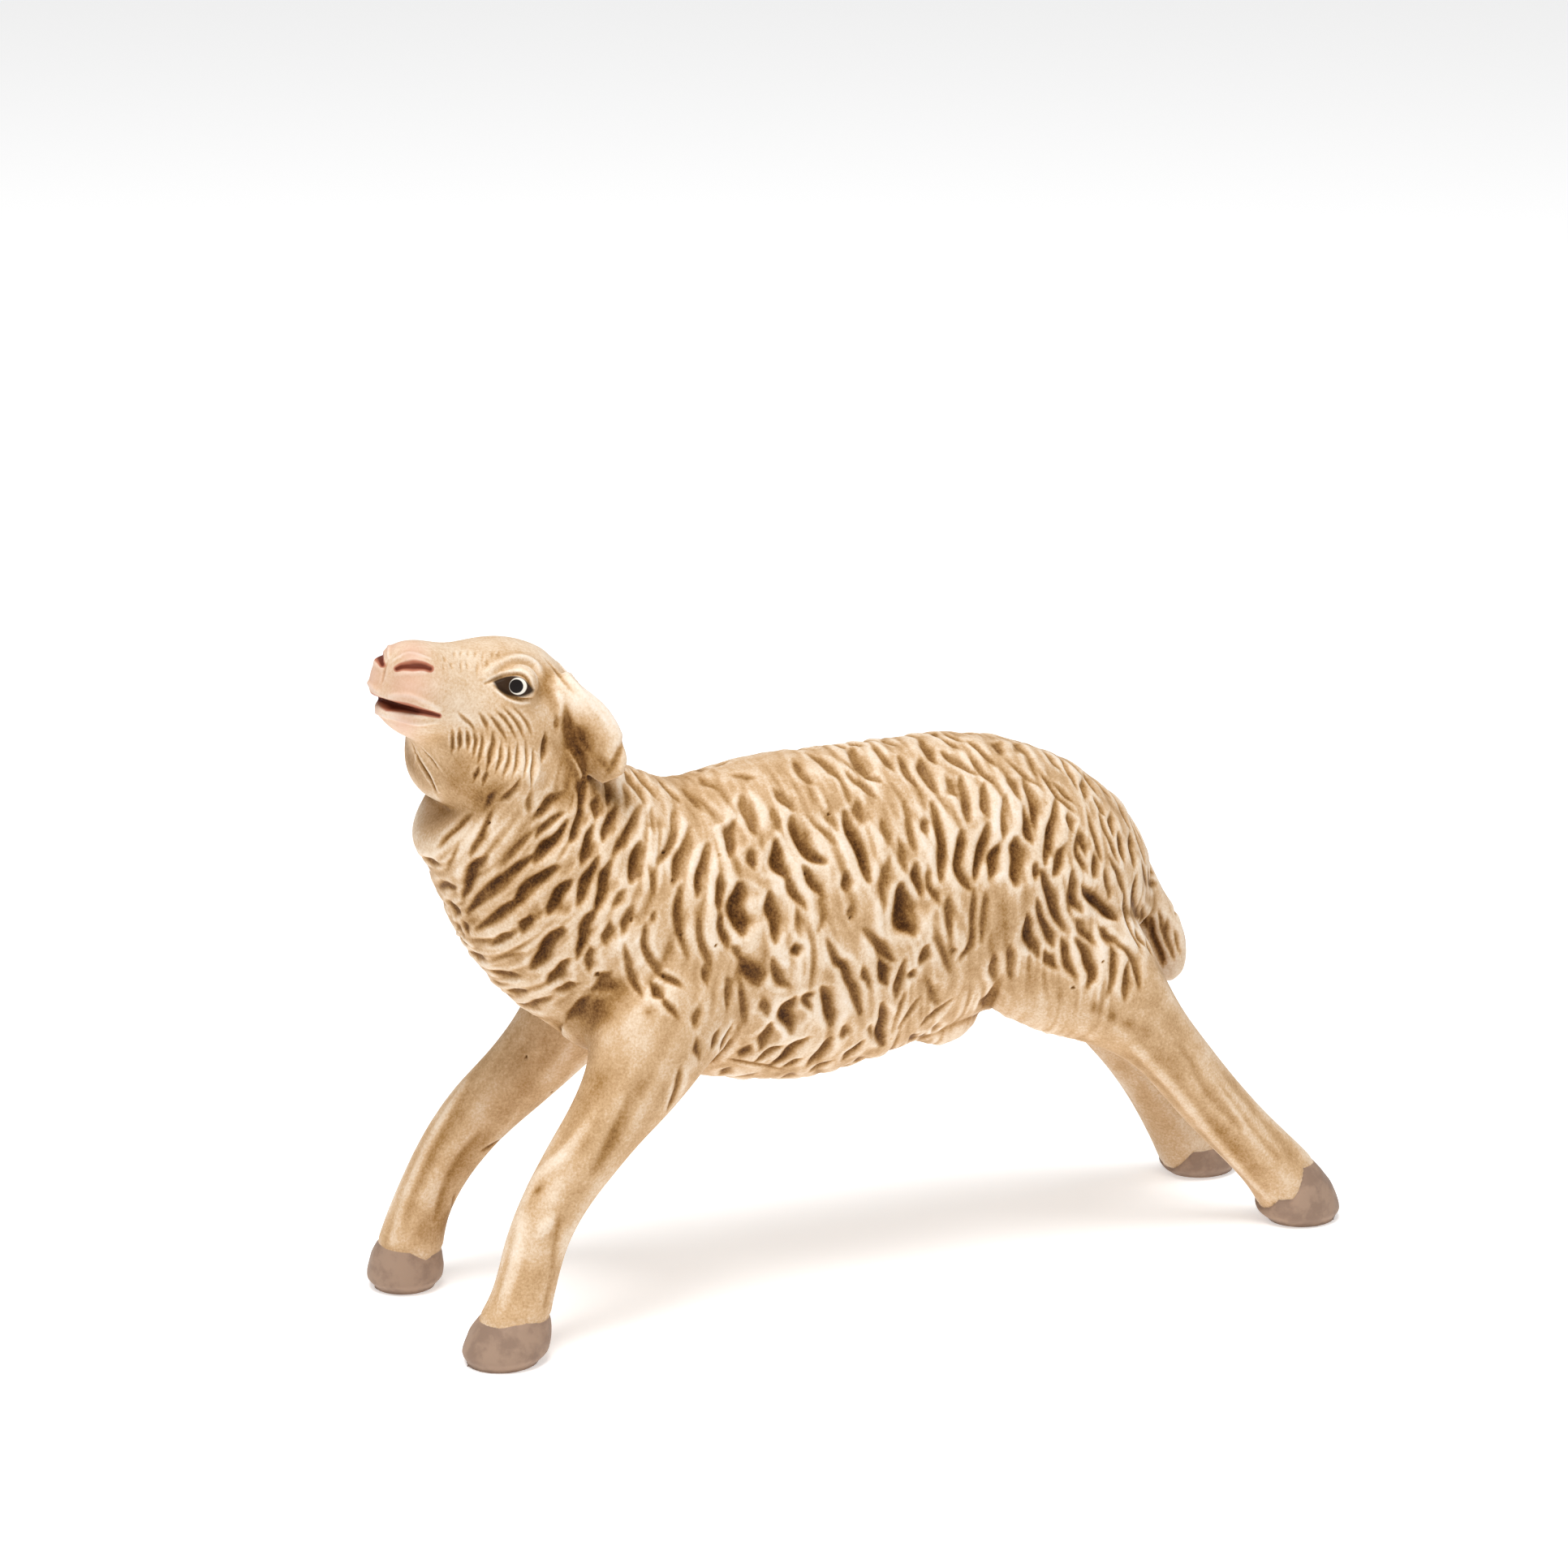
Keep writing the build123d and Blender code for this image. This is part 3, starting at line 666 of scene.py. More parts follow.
def pits(surface, tree, places, depth, washAndShade):
    for x, y, radius in places:
        place = tree.ray_cast(Vector(eyePoint), Vector(photoRay(x, y)))[0]
        if place is None:
            continue
        away = np.linalg.norm(surface.co - np.array(place), axis=1) / (radius * pixel)
        hole = np.exp(-away ** 4)
        depth += hole * carving["pitDepth"]
        washAndShade[:] = np.maximum(washAndShade, hole)


def hollows(surface, stages):
    # how deep each point lies below its surroundings, near and wide
    smooth, found, done = surface.co.copy(), [], 0
    for passes in stages:
        for _ in range(passes - done):
            smooth += 0.5 * (surface.spread(smooth) - smooth)
        done = passes
        found.append(((smooth - surface.co) * surface.normals).sum(axis=1))
    return found


# raised folds of the face: width in pixels, height in mm, then points; the strokes are as for the fleece
faceRidges = [
    (22, 0.42, 598, 828, 617, 817, 640, 811, 658, 817, 666, 830),
    (7, 0.12, 610, 851, 624, 860, 640, 866, 654, 866), (12, 0.2, 480, 857, 505, 857, 525, 865, 541, 874),
    (12, 0.22, 466, 881, 490, 886, 515, 892, 538, 890), (9, 0.2, 486, 813, 505, 805, 530, 812),
    (12, 0.15, 488, 830, 510, 829, 532, 827), (8, 0.12, 510, 916, 520, 935, 532, 955, 540, 976),
    (8, 0.08, 520, 920, 536, 938, 550, 956), (9, 0.25, 684, 812, 700, 832, 722, 858, 748, 890),
    (10, 0.25, 700, 925, 714, 950, 716, 975), (24, 0.3, 686, 850, 690, 870, 688, 885),
]
# bones and sinews of the legs, given like the folds of the face
legRidges = [
    (34, 0.4, 745, 1345, 728, 1374, 696, 1419, 661, 1451, 651, 1470),
    (26, 0.25, 645, 1500, 634, 1560, 616, 1615), (28, 0.3, 572, 1335, 530, 1406, 500, 1478, 484, 1530),
    (26, 0.25, 1400, 1290, 1450, 1345, 1510, 1420, 1560, 1475),
    (24, 0.3, 680, 1500, 672, 1512, 668, 1520), (22, 0.3, 548, 1520, 552, 1530, 548, 1540),
    # the web between the chest and the near front leg
    (70, 2.2, 690, 1254, 712, 1270, 726, 1286, 727, 1300, 723, 1320),
]
faceStrokes = [
    (10, 1.2, 492, 822, 500, 819, 510, 818, 522, 820, 530, 823), (4, 0.7, 478, 815, 473, 828, 470, 843),
    (7, 0.8, 512, 874, 524, 878, 541, 882),
    (6, 1.7, 600, 841, 612, 836, 625, 831, 640, 830, 650, 836, 656, 849),
    (5, 1.4, 611, 846, 622, 853, 632, 859, 643, 862, 654, 861),
    # flecks on the nose bridge
    (3.5, 0.44, 546, 808, 549, 816), (3.5, 0.44, 555, 815, 557, 825), (3.5, 0.44, 568, 814, 568, 826),
    (3.5, 0.44, 575, 815, 576, 825), (3.5, 0.39, 545, 818, 548, 826), (3.5, 0.39, 588, 818, 587, 830),
    (3.5, 0.39, 560, 802, 559, 811), (3.5, 0.39, 568, 801, 567, 809), (3.5, 0.39, 577, 801, 576, 809),
    (3.5, 0.44, 600, 812, 600, 822), (3.5, 0.39, 586, 802, 585, 810), (3.5, 0.39, 595, 804, 594, 813),
    (3.5, 0.39, 607, 802, 606, 811), (3.5, 0.39, 615, 802, 613, 810),
    # cheek
    (4, 1.2, 565, 878, 573, 886, 581, 894, 586, 901), (5, 1.5, 592, 880, 597, 888, 600, 897),
    (4, 1.3, 603, 881, 611, 890, 618, 900, 624, 912), (4, 1.2, 612, 876, 622, 886, 630, 897, 636, 910),
    (4, 1.2, 621, 872, 632, 884, 641, 897, 646, 910), (4, 1, 632, 871, 642, 880, 650, 892, 655, 905),
    (5, 1.3, 557, 899, 558, 912, 556, 926), (6, 1.6, 566, 899, 567, 912, 565, 923),
    (5, 1.5, 575, 900, 577, 912, 576, 923), (5, 1.2, 584, 902, 586, 915, 583, 931),
    (5, 1.2, 594, 905, 594, 920, 589, 939), (7, 1.6, 607, 905, 608, 918, 604, 932, 600, 946),
    (5, 1.2, 618, 915, 617, 932, 611, 951), (5, 1.1, 628, 918, 627, 938, 620, 957),
    (5, 1.1, 638, 915, 638, 935, 632, 956), (5, 1.1, 648, 915, 650, 935, 646, 956),
    (7, 1.4, 657, 925, 658, 945, 655, 968), (6, 1.3, 590, 945, 584, 961), (6, 1.2, 600, 950, 595, 966),
    (9, 1.6, 672, 905, 671, 920, 668, 936), (5, 1.3, 685, 879, 686, 890, 685, 898),
    (6, 1.2, 610, 975, 603, 985, 598, 996), (9, 1.3, 640, 962, 632, 975, 618, 985),
    (8, 1.3, 655, 975, 652, 990, 651, 1001), (5, 1, 690, 965, 682, 985, 672, 1000),
    # throat and ear
    (6, 1.5, 508, 917, 514, 934, 522, 948, 531, 962, 538, 978), (4, 0.8, 520, 923, 530, 934, 539, 946),
    (13, 1.2, 697, 872, 699, 892, 704, 910, 712, 925, 717, 940, 719, 956),
    (16, 0.7, 708, 893, 720, 912, 728, 928), (5, 1, 672, 812, 690, 832, 708, 855),
    (8, 0.5, 735, 930, 745, 940, 752, 948),
]
# brown stains of the wash on the face: x, y, radius, strength; (600, 930), (570, 945) and (560, 965) are
# painted shade on the underside of the cheek, and the negative ones near the forehead are painted highlights
# on the top of the head
faceWashShadeAndLight = [
    (668, 850, 13, 0.3), (672, 915, 10, 0.4), (600, 986, 17, 0.42), (620, 974, 13, 0.3),
    (640, 967, 10, 0.28), (570, 945, 36, 0.12), (715, 902, 15, 0.28), (701, 890, 9, 0.25),
    (712, 930, 8, 0.3), (560, 965, 34, 0.1), (526, 972, 9, 0.2), (676, 832, 10, 0.3), (640, 835, 26, 0.1),
    (714, 905, 22, 0.2), (726, 936, 16, 0.22), (744, 942, 10, 0.16), (600, 930, 60, 0.16),
    (650, 1090, 100, 0.16), (560, 800, 60, -0.1), (620, 795, 40, -0.1), (720, 900, 34, 0.12),
    (735, 978, 30, 0.24), (762, 985, 28, 0.34), (640, 790, 50, -0.12), (720, 925, 30, 0.1),
    (700, 975, 22, 0.14),
]
# paint on the hooves down from these lines
hoofLines = {
    "front_right_leg": (470, 1536, 487, 1542, 505, 1544, 517, 1550, 525, 1553, 538, 1545),
    "front_left_leg": (593, 1630, 614, 1637, 633, 1634, 650, 1631, 668, 1630),
    "rear_right_leg": (1444, 1440, 1460, 1430, 1470, 1420),
    "rear_left_leg": (1556, 1488, 1575, 1479, 1593, 1478, 1599, 1470, 1605, 1455, 1608, 1440),
}


def raiseFolds(surface, ridges, height):
    for g in ridges:
        half = g["width"] / 2
        near, closest, offset = nearGroove(surface, g, 3 * half)
        taper = tapered(closest / (len(g["points"]) - 1), carving["foldEnds"])
        facing = (surface.normals[near] * g["normals"][closest]).sum(axis=1) > 0
        fold = facing * g["grade"] * taper * np.exp(-(offset ** 2).sum(axis=1) / (0.6 * half) ** 2)
        height[near] = np.maximum(height[near], fold)


skinTree = sheep.tree()
ridges = layOnSkin(skinTree, faceRidges)
ridges += onFarSide(skinTree, ridges, mirrorHead, mirrorHeadVector, 0)
ridges += layOnSkin(skinTree, legRidges)
ridgeHeight = np.zeros(sheep.count)
raiseFolds(sheep, ridges, ridgeHeight)
sheep.co += sheep.normals * ridgeHeight[:, None]
sheep.relax(skin["foldPasses"], 0.5 * foldWeight)
skinTree = sheep.tree()
fleeceGrooves = layOnSkin(skinTree, fleeceStrokes, carving["widen"])
legGrooves = layOnSkin(skinTree, legStrokes)
fleeceGrooves += onFarSide(skinTree, fleeceGrooves, mirrorBody, mirrorBody, carving["farJitter"])
legGrooves += onFarSide(skinTree, legGrooves, mirrorBody, mirrorBody, 0)
faceGrooves = layOnSkin(skinTree, faceStrokes)
faceGrooves += onFarSide(skinTree, faceGrooves, mirrorHead, mirrorHeadVector, carving["farFaceJitter"])
for g in faceGrooves:
    g["grade"] *= carving["faceShare"]
twinXy, facing = seenAsNear(sheep)

# wool between the strokes: short grooves, and noise drawn out along the way the wool lies
wool = {
    # x in mm, and how far the wool there runs towards the head, as a share of its way down
    "lean": (
        (-46, 0.9), (-36, 0.7), (-26, 0.25), (-15, -0.05),
        (0, -0.25), (15, -0.1), (25, 0.1), (34, -0.15),
    ),
    "leanHeight": 50.0,
    "locks": (2.2, 10.0, 9.0, 0.26),  # width, length, thickness and height in mm
    "lockValley": 0.12,
    "lockMiddle": 0.6,
    "strands": (0.7, 5.0, 5.0, 0.07),
    "legFolds": (3.0, 14.0, 3.0, 0.4),
    "legFoldHeights": (3, 9),  # mm above the floor over which the folds of the legs set in
    "straySize": 5.0,
    "stray": 0.6,
    "spine": 44.0,  # height of the line that the wool hangs round
    "girth": 14.0,
    "bare": 0.7,
    "tries": 9000,
    "apart": 1.75,  # mm between a filling groove and any other
    "apartEnd": 0.6,
    "fillShare": 0.75,  # how woolly a place is where a filling groove starts
    "fillTurn": 0.25,
    "fillWobble": 0.1,
    "fillStep": 0.3,
    "fillSteps": (12, 24),
    "fillLeast": 9,
    "fillWidth": (1.0, 1.7),
    "fillGrade": (0.8, 1.7),
}
# how the fleece runs out, mm: each way from the collar, above a leg's root, off its axis, round an ear
fleeceEnds = {"collar": 3, "legRun": 9, "legInside": 9, "legOutside": 12, "ear": 1.2}
# places where the fleece is smoother: x, y, radius in the photograph
bareSpots = [
    (1235, 1135, 42), (1190, 1190, 36), (790, 1290, 60), (1200, 1275, 44), (1335, 1270, 46),
    (1270, 1235, 40), (700, 1275, 40), (880, 945, 50), (960, 922, 50), (820, 958, 40),
]


def drawnOut(across, along, through, size):
    width, length, thickness, height = size
    spots = np.column_stack([across / width, through / thickness, along / length])
    return height * np.array([noise.noise(spot) for spot in spots])


def nodeTree(nodeNames):
    verts, faces = [], []
    for nodeName in nodeNames:
        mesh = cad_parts[nodeName].data
        first = len(verts)
        verts += [v.co / millimetre for v in mesh.vertices]
        faces += [[first + i for i in p.vertices] for p in mesh.polygons]
    return BVHTree.FromPolygons(verts, faces)


def nearNode(surface, nodeName, reach):
    # 1 on the CAD piece, 0 from a reach away
    share, tree = np.zeros(surface.count), nodeTree([nodeName])
    low, high = (np.array(corner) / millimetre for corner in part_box(nodeName))
    for k in np.flatnonzero(np.all((surface.co > low - reach) & (surface.co < high + reach), axis=1)):
        share[k] = 1 - tree.find_nearest(Vector(surface.co[k]))[3] / reach
    return np.clip(share, 0, 1)


def leanAt(x):
    return np.interp(x, *np.array(wool["lean"]).T)


across = sheep.co[:, 0] - leanAt(sheep.co[:, 0]) * (sheep.co[:, 2] - wool["leanHeight"])
stray = np.array([noise.noise(spot) for spot in sheep.co / wool["straySize"]])
across += wool["stray"] * stray
collarEnd = fleeceEnds["collar"]
headShare = smoothStep(-collarEnd, collarEnd, (sheep.co - collarPoint) @ collarNormal)
legShare = np.zeros(sheep.count)
legAcross = sheep.co[:, 0].copy()
for point, normal, foot in legRoots.values():
    point, way = np.array(point), unit(np.array(foot) - np.array(point))
    run = (sheep.co - point) @ way
    off = np.linalg.norm(sheep.co - point - run[:, None] * way, axis=1)
    inLeg = smoothStep(-fleeceEnds["legRun"], 0, (sheep.co - point) @ unit(normal))
    inLeg *= 1 - smoothStep(fleeceEnds["legInside"], fleeceEnds["legOutside"], off)
    legShare = np.maximum(legShare, inLeg)
    sideOfLeg = (sheep.co - point) @ unit(np.cross(way, (0, 1, 0)))
    legAcross = np.where(off < fleeceEnds["legInside"], sideOfLeg, legAcross)
fleeceShare = (1 - headShare) * (1 - legShare)
for nodeName in ("left_ear", "right_ear"):
    fleeceShare *= 1 - nearNode(sheep, nodeName, fleeceEnds["ear"])
fleeceShare *= 1 - wool["bare"] * (facing > 0) * softSpots(bareSpots, twinXy)


def hangingWay(place):
    # the way the wool runs down from the spine
    side = -1 if place[1] < 0 else 1
    down = unit((0, side * (place[2] - wool["spine"]), -side * place[1]))
    return unit(down + (leanAt(place[0]) * down[2], 0, 0))


def fillingGrooves(tree, grooves, share):
    # short shallow grooves wherever the traced ones leave the wool bare
    taken = np.vstack([g["points"] for g in grooves])
    made = []
    for k in rng.permutation(np.flatnonzero(share > wool["fillShare"]))[:wool["tries"]]:
        place = sheep.co[k]
        if np.min(((taken - place) ** 2).sum(axis=1)) < wool["apart"] ** 2:
            continue
        points, normals = [], []
        turn = rng.normal(0, wool["fillTurn"])
        for _ in range(int(rng.uniform(*wool["fillSteps"]))):
            spot, normal, _, _ = tree.find_nearest(Vector(place))
            if np.min(((taken - np.array(spot)) ** 2).sum(axis=1)) < (wool["apartEnd"] * wool["apart"]) ** 2:
                break
            points.append(spot)
            normals.append(normal)
            way = hangingWay(spot)
            veer = turn + rng.normal(0, wool["fillWobble"])
            place = np.array(spot) + wool["fillStep"] * unit(way + veer * np.cross(normal, way))
        if len(points) > wool["fillLeast"]:
            width, grade = rng.uniform(*wool["fillWidth"]), rng.uniform(*wool["fillGrade"])
            made.append(groove(np.array(points), np.array(normals), width, grade, shadeSide))
            taken = np.vstack([taken, points])
    return made


fillGrooves = fillingGrooves(skinTree, fleeceGrooves, fleeceShare)
print("stage: grooves,", len(fleeceGrooves), "traced,", len(fillGrooves), "filling,",
      len(faceGrooves), "on the face")
depth, rim, washAndShade = (np.zeros(sheep.count) for _ in range(3))
carved = {"fleece": fleeceGrooves, "fill": fillGrooves, "face": faceGrooves, "legs": legGrooves}
for kind, grooves in carved.items():
    carve(sheep, grooves, washAndShading["darkStrengths"][kind], depth, rim, washAndShade)
stainAndShade(washAndShade, washAndShadeStains + faceWashShadeAndLight, twinXy, facing > 0.05)
stainAndShade(washAndShade, farStains, photoXy(sheep.co), (sheep.co[:, 1] > 0) & (sheep.normals @ -ahead > 0.05))

hang = wool["girth"] * np.abs(np.arctan2(sheep.co[:, 1], sheep.co[:, 2] - wool["spine"]))
locks = drawnOut(across, hang, sheep.co[:, 1], wool["locks"])
strands = drawnOut(across, hang, sheep.co[:, 1], wool["strands"])
folds = drawnOut(legAcross, sheep.co[:, 2], sheep.co[:, 1], wool["legFolds"])
folds *= smoothStep(*wool["legFoldHeights"], sheep.co[:, 2])
# the noise is folded over, so that broad locks have narrow valleys between them
lockHeight = wool["locks"][-1]
locks = 2 * np.sqrt(locks ** 2 + (wool["lockValley"] * lockHeight) ** 2)
locks = np.minimum(locks, lockHeight) - wool["lockMiddle"] * lockHeight
relief = fleeceShare * (locks + strands) + legShare * folds
cut = np.column_stack([depth, rim * (1 - smoothStep(*carving["rimDepths"], depth)), washAndShade])
for _ in range(carving["soften"]):
    cut = 0.5 * (cut + sheep.spread(cut))
for _ in range(washAndShading["soften"]):
    cut[:, 2] = 0.5 * (cut + sheep.spread(cut))[:, 2]
depth, rim, washAndShade = cut.T
# painted light: less wash where the fleece faces up, so the top of the back is paler
onTop = (1 - headShare) * (1 - legShare) * smoothStep(*washAndShading["topSlope"], sheep.normals[:, 2])
topLightShare, topLightAmount = washAndShading["paintedTopLight"]
washAndShade = washAndShade * (1 - topLightShare * onTop) - topLightAmount * onTop
pits(sheep, skinTree, pinholes, depth, washAndShade)
sheep.co += sheep.normals * (relief + rim - depth)[:, None]
sheep.refresh()
for hollow, (full, least, most) in zip(hollows(sheep, washAndShading["hollowPasses"]), washAndShading["hollowSteps"]):
    washAndShade += np.clip(hollow / full, least, most)
washAndShade += washAndShading["ground"] + washAndShading["stray"] * stray
washAndShade += washAndShading["legs"] * legShare + washAndShading["head"] * headShare
# a strong wash nears full only slowly, so that the darks keep their shades
slowFrom = washAndShading["slowFrom"]
slowness = 1 - slowFrom
slowed = 1 - slowness * np.exp((slowFrom - np.maximum(washAndShade, slowFrom)) / slowness)
washAndShade = np.where(washAndShade > slowFrom, slowed, washAndShade)
print("stage: carved")


def storeValue(mesh, name, values):
    stored = mesh.attributes.new(name, "FLOAT", "POINT")
    stored.data.foreach_set("value", np.asarray(values, np.float32))


def storeVector(mesh, name, values):
    stored = mesh.attributes.new(name, "FLOAT_VECTOR", "POINT")
    stored.data.foreach_set("vector", np.asarray(values, np.float32).ravel())


# hooves, mm: they swell below the paint line and round off to the sole
hoof = {
    "swell": 0.4,
    "lumps": 0.25,
    "lumpSize": 1.6,
    "notch": 0.14,  # along the paint line
    "notchPlace": 0.1,
    "notchWidth": 0.28,
    "rounding": 0.55,
    "roundUp": 1.3,
    "tallest": 16.0,
}

# painted places: the eyes on a plane of their own, in tens of pixels from the middle of the eye
eyeMiddle = (637, 845)
eyeUnit = 10
hidden = 90  # off the plane, where no eye is painted
faceFlat = (twinXy - eyeMiddle) / eyeUnit
faceFlat = np.column_stack([faceFlat, np.where(facing > -0.1, 0, hidden)])
# mouth and nostril: half widths at the start, middle and end of a line, then its points
lipLines = [
    ((9, 7, 4), 474, 869, 500, 872, 520, 877, 541, 882),
    ((5, 9, 6), 489, 824, 497, 821, 510, 820, 522, 821, 530, 824),
]
lips = np.full(sheep.count, -1.0)
for halves, *marks in lipLines:
    line = tracedLine(marks)
    half = np.interp(np.linspace(0, 1, len(line)), (0, 0.5, 1), halves)
    for mark, size in zip(line, half):
        lips = np.maximum(lips, 1 - np.linalg.norm(twinXy - mark, axis=1) / size)
lips[facing < 0] = -1
blushSpots = [(503, 845, 32), (497, 891, 20), (508, 806, 20)]
blushStrength = 0.75
blush = blushStrength * softSpots(blushSpots, twinXy) * (facing > 0)
# how far each point is above the paint line of its hoof
aboveHoof = np.full(sheep.count, 9.0)
for nodeName, marks in hoofLines.items():
    rays = [Vector(photoRay(x, y)) for x, y in zip(marks[::2], marks[1::2])]
    hits = [skinTree.ray_cast(Vector(eyePoint), ray)[0] for ray in rays]
    line = np.array(sorted((h.x, h.z) for h in hits if h is not None))
    low, high = (np.array(corner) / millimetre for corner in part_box(nodeName))
    own = np.all((sheep.co > low - 1) & (sheep.co < high + 1), axis=1) & (sheep.co[:, 2] < hoof["tallest"])
    aboveHoof[own] = (sheep.co[:, 2] - np.interp(sheep.co[:, 0], line[:, 0], line[:, 1]))[own]
hoofLine = sheep.co[:, 2] - aboveHoof
onHoof = aboveHoof < 0
upHoof = np.clip(sheep.co[:, 2] / np.maximum(hoofLine, 1), 0, 1)
lumps = np.zeros(sheep.count)
for k in np.flatnonzero(onHoof):
    lumps[k] = noise.noise(sheep.co[k] / hoof["lumpSize"])
swell = hoof["swell"] * np.sin(math.pi * upHoof ** 0.8) * onHoof + hoof["lumps"] * lumps * upHoof
swell -= hoof["notch"] * np.exp(-((aboveHoof - hoof["notchPlace"]) / hoof["notchWidth"]) ** 2)
swell -= hoof["rounding"] * (1 - smoothStep(0, hoof["roundUp"], sheep.co[:, 2])) * onHoof
sideways = unit(sheep.normals * (1, 1, 0)) * np.linalg.norm(sheep.normals[:, :2], axis=1)[:, None]
sheep.co += np.where(onHoof[:, None], sideways, sheep.normals) * swell[:, None]
sheep.refresh()
painted = {"washAndShade": np.clip(washAndShade, 0, 1), "aboveHoof": aboveHoof, "lips": lips, "blush": blush}
for name, values in painted.items():
    storeValue(sheep.obj.data, name, values)
storeVector(sheep.obj.data, "faceFlat", faceFlat)
storeVector(sheep.obj.data, "skinNormal", sheep.normals)
softNormals = sheep.normals
for _ in range(skin["softPasses"]):
    softNormals = sheep.spread(softNormals)
storeVector(sheep.obj.data, "softNormal", unit(softNormals))
sheep.obj.data.attributes.new("cap", "INT", "FACE")


# cutting the skin into the pieces of the assembly, mm
cutting = {
    "capDepth": 0.7,  # how far a cap lies below the skin, so that none shows in a groove
    "band": 1.0,  # each side of a plane, where faces are split
    "legReach": 12.0,  # how far the split goes round the middle of each plane
    "headReach": 16.0,
    "bodyReach": 200.0,
    "headSeed": (-55.0, -6.0, 74.0),
}


def startEdit(piece, selectMode):
    deselectAll()
    bpy.context.view_layer.objects.active = piece
    piece.select_set(True)
    bpy.ops.object.mode_set(mode="EDIT")
    bpy.context.tool_settings.mesh_select_mode = selectMode
    bpy.ops.mesh.select_all(action="DESELECT")


def capOpenEdges(piece):
    # a lip turns in from the open edge, and a face closes it
    startEdit(piece, (False, True, False))
    work = bmesh.from_edit_mesh(piece.data)
    softNormal = work.verts.layers.float_vector["softNormal"]
    capLayer = work.faces.layers.int["cap"]
    rim = [e for e in work.edges if e.is_boundary]
    lip = bmesh.ops.extrude_edge_only(work, edges=rim)["geom"]
    for vert in (g for g in lip if isinstance(g, bmesh.types.BMVert)):
        vert.co -= vert[softNormal] * cutting["capDepth"]
    inner = [e for e in work.edges if e.is_boundary]
    closing = bmesh.ops.holes_fill(work, edges=inner, sides=0)["faces"]
    closing = bmesh.ops.triangulate(work, faces=closing, ngon_method="EAR_CLIP")["faces"]
    for face in closing + [g for g in lip if isinstance(g, bmesh.types.BMFace)]:
        face[capLayer] = 1
    bmesh.ops.recalc_face_normals(work, faces=work.faces)
    bmesh.update_edit_mesh(piece.data)
    bpy.ops.object.mode_set(mode="OBJECT")


def joinedTo(start, belongs):
    picked, front = {start}, [start]
    while front:
        face = front.pop()
        for edge in face.edges:
            for other in edge.link_faces:
                if other not in picked and belongs(other):
                    picked.add(other)
                    front.append(other)
    return picked


def separatePicked(whole, picked, name):
    for face in picked:
        face.select = True
    bmesh.update_edit_mesh(whole.data)
    bpy.ops.mesh.separate(type="SELECTED")
    bpy.ops.object.mode_set(mode="OBJECT")
    piece = next(o for o in bpy.context.selected_objects if o != whole)
    piece.name = name
    capOpenEdges(whole)
    capOpenEdges(piece)
    return piece


def cutAway(whole, name, point, normal, reach, seed=None):
    # what lies beyond the plane becomes a piece of its own; with a seed, only what is joined to it there
    startEdit(whole, (False, False, True))
    work = bmesh.from_edit_mesh(whole.data)
    point, normal = Vector(point), Vector(normal).normalized()
    near = [f for f in work.faces if (f.verts[0].co - point).length < reach]
    near = [f for f in near if abs((f.verts[0].co - point).dot(normal)) < cutting["band"]]
    geometry = set(near)
    for face in near:
        geometry.update(face.edges)
        geometry.update(face.verts)
    bmesh.ops.bisect_plane(work, geom=list(geometry), dist=1e-5, plane_co=point, plane_no=normal)
    work.faces.ensure_lookup_table()

    def beyond(face):
        return (face.calc_center_median() - point).dot(normal) > 0

    if seed is None:
        picked = [f for f in work.faces if beyond(f)]
    else:
        seed = Vector(seed)
        picked = joinedTo(min(work.faces, key=lambda f: (f.verts[0].co - seed).length_squared), beyond)
    return separatePicked(whole, picked, name)


def peelOff(whole, name, nodeName, carriers):
    # what lies nearer to the CAD piece than to what carries it becomes a piece of its own
    startEdit(whole, (False, False, True))
    work = bmesh.from_edit_mesh(whole.data)
    own, carrier = nodeTree([nodeName]), nodeTree(carriers)
    low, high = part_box(nodeName)
    low, high = low / millimetre - Vector((1, 1, 1)), high / millimetre + Vector((1, 1, 1))
    lead = {}
    for face in work.faces:
        middle = face.calc_center_median()
        if all(l < m < h for l, m, h in zip(low, middle, high)):
            lead[face] = carrier.find_nearest(middle)[3] - own.find_nearest(middle)[3]
    picked = joinedTo(max(lead, key=lead.get), lambda f: lead.get(f, -1) > 0)
    return separatePicked(whole, picked, name)


pieces = {}
carriers = ["head", "body_left_shell", "body_right_shell"]
for nodeName, (point, normal, foot) in legRoots.items():
    reach = cutting["legReach"]
    pieces[nodeName] = cutAway(sheep.obj, nodeName + "_painted", point, normal, reach, foot)
for nodeName in ("tail", "left_ear", "right_ear"):
    pieces[nodeName] = peelOff(sheep.obj, nodeName + "_painted", nodeName, carriers)
pieces["head"] = cutAway(sheep.obj, "head_painted", collarPoint, collarNormal,
                         cutting["headReach"], cutting["headSeed"])
pieces["body_left_shell"] = cutAway(sheep.obj, "body_left_painted", (0, 0, 0), (0, -1, 0),
                                    cutting["bodyReach"])
pieces["body_right_shell"] = sheep.obj
sheep.obj.name = "body_right_painted"
print("stage: pieces,", {name: len(o.data.polygons) for name, o in pieces.items()})

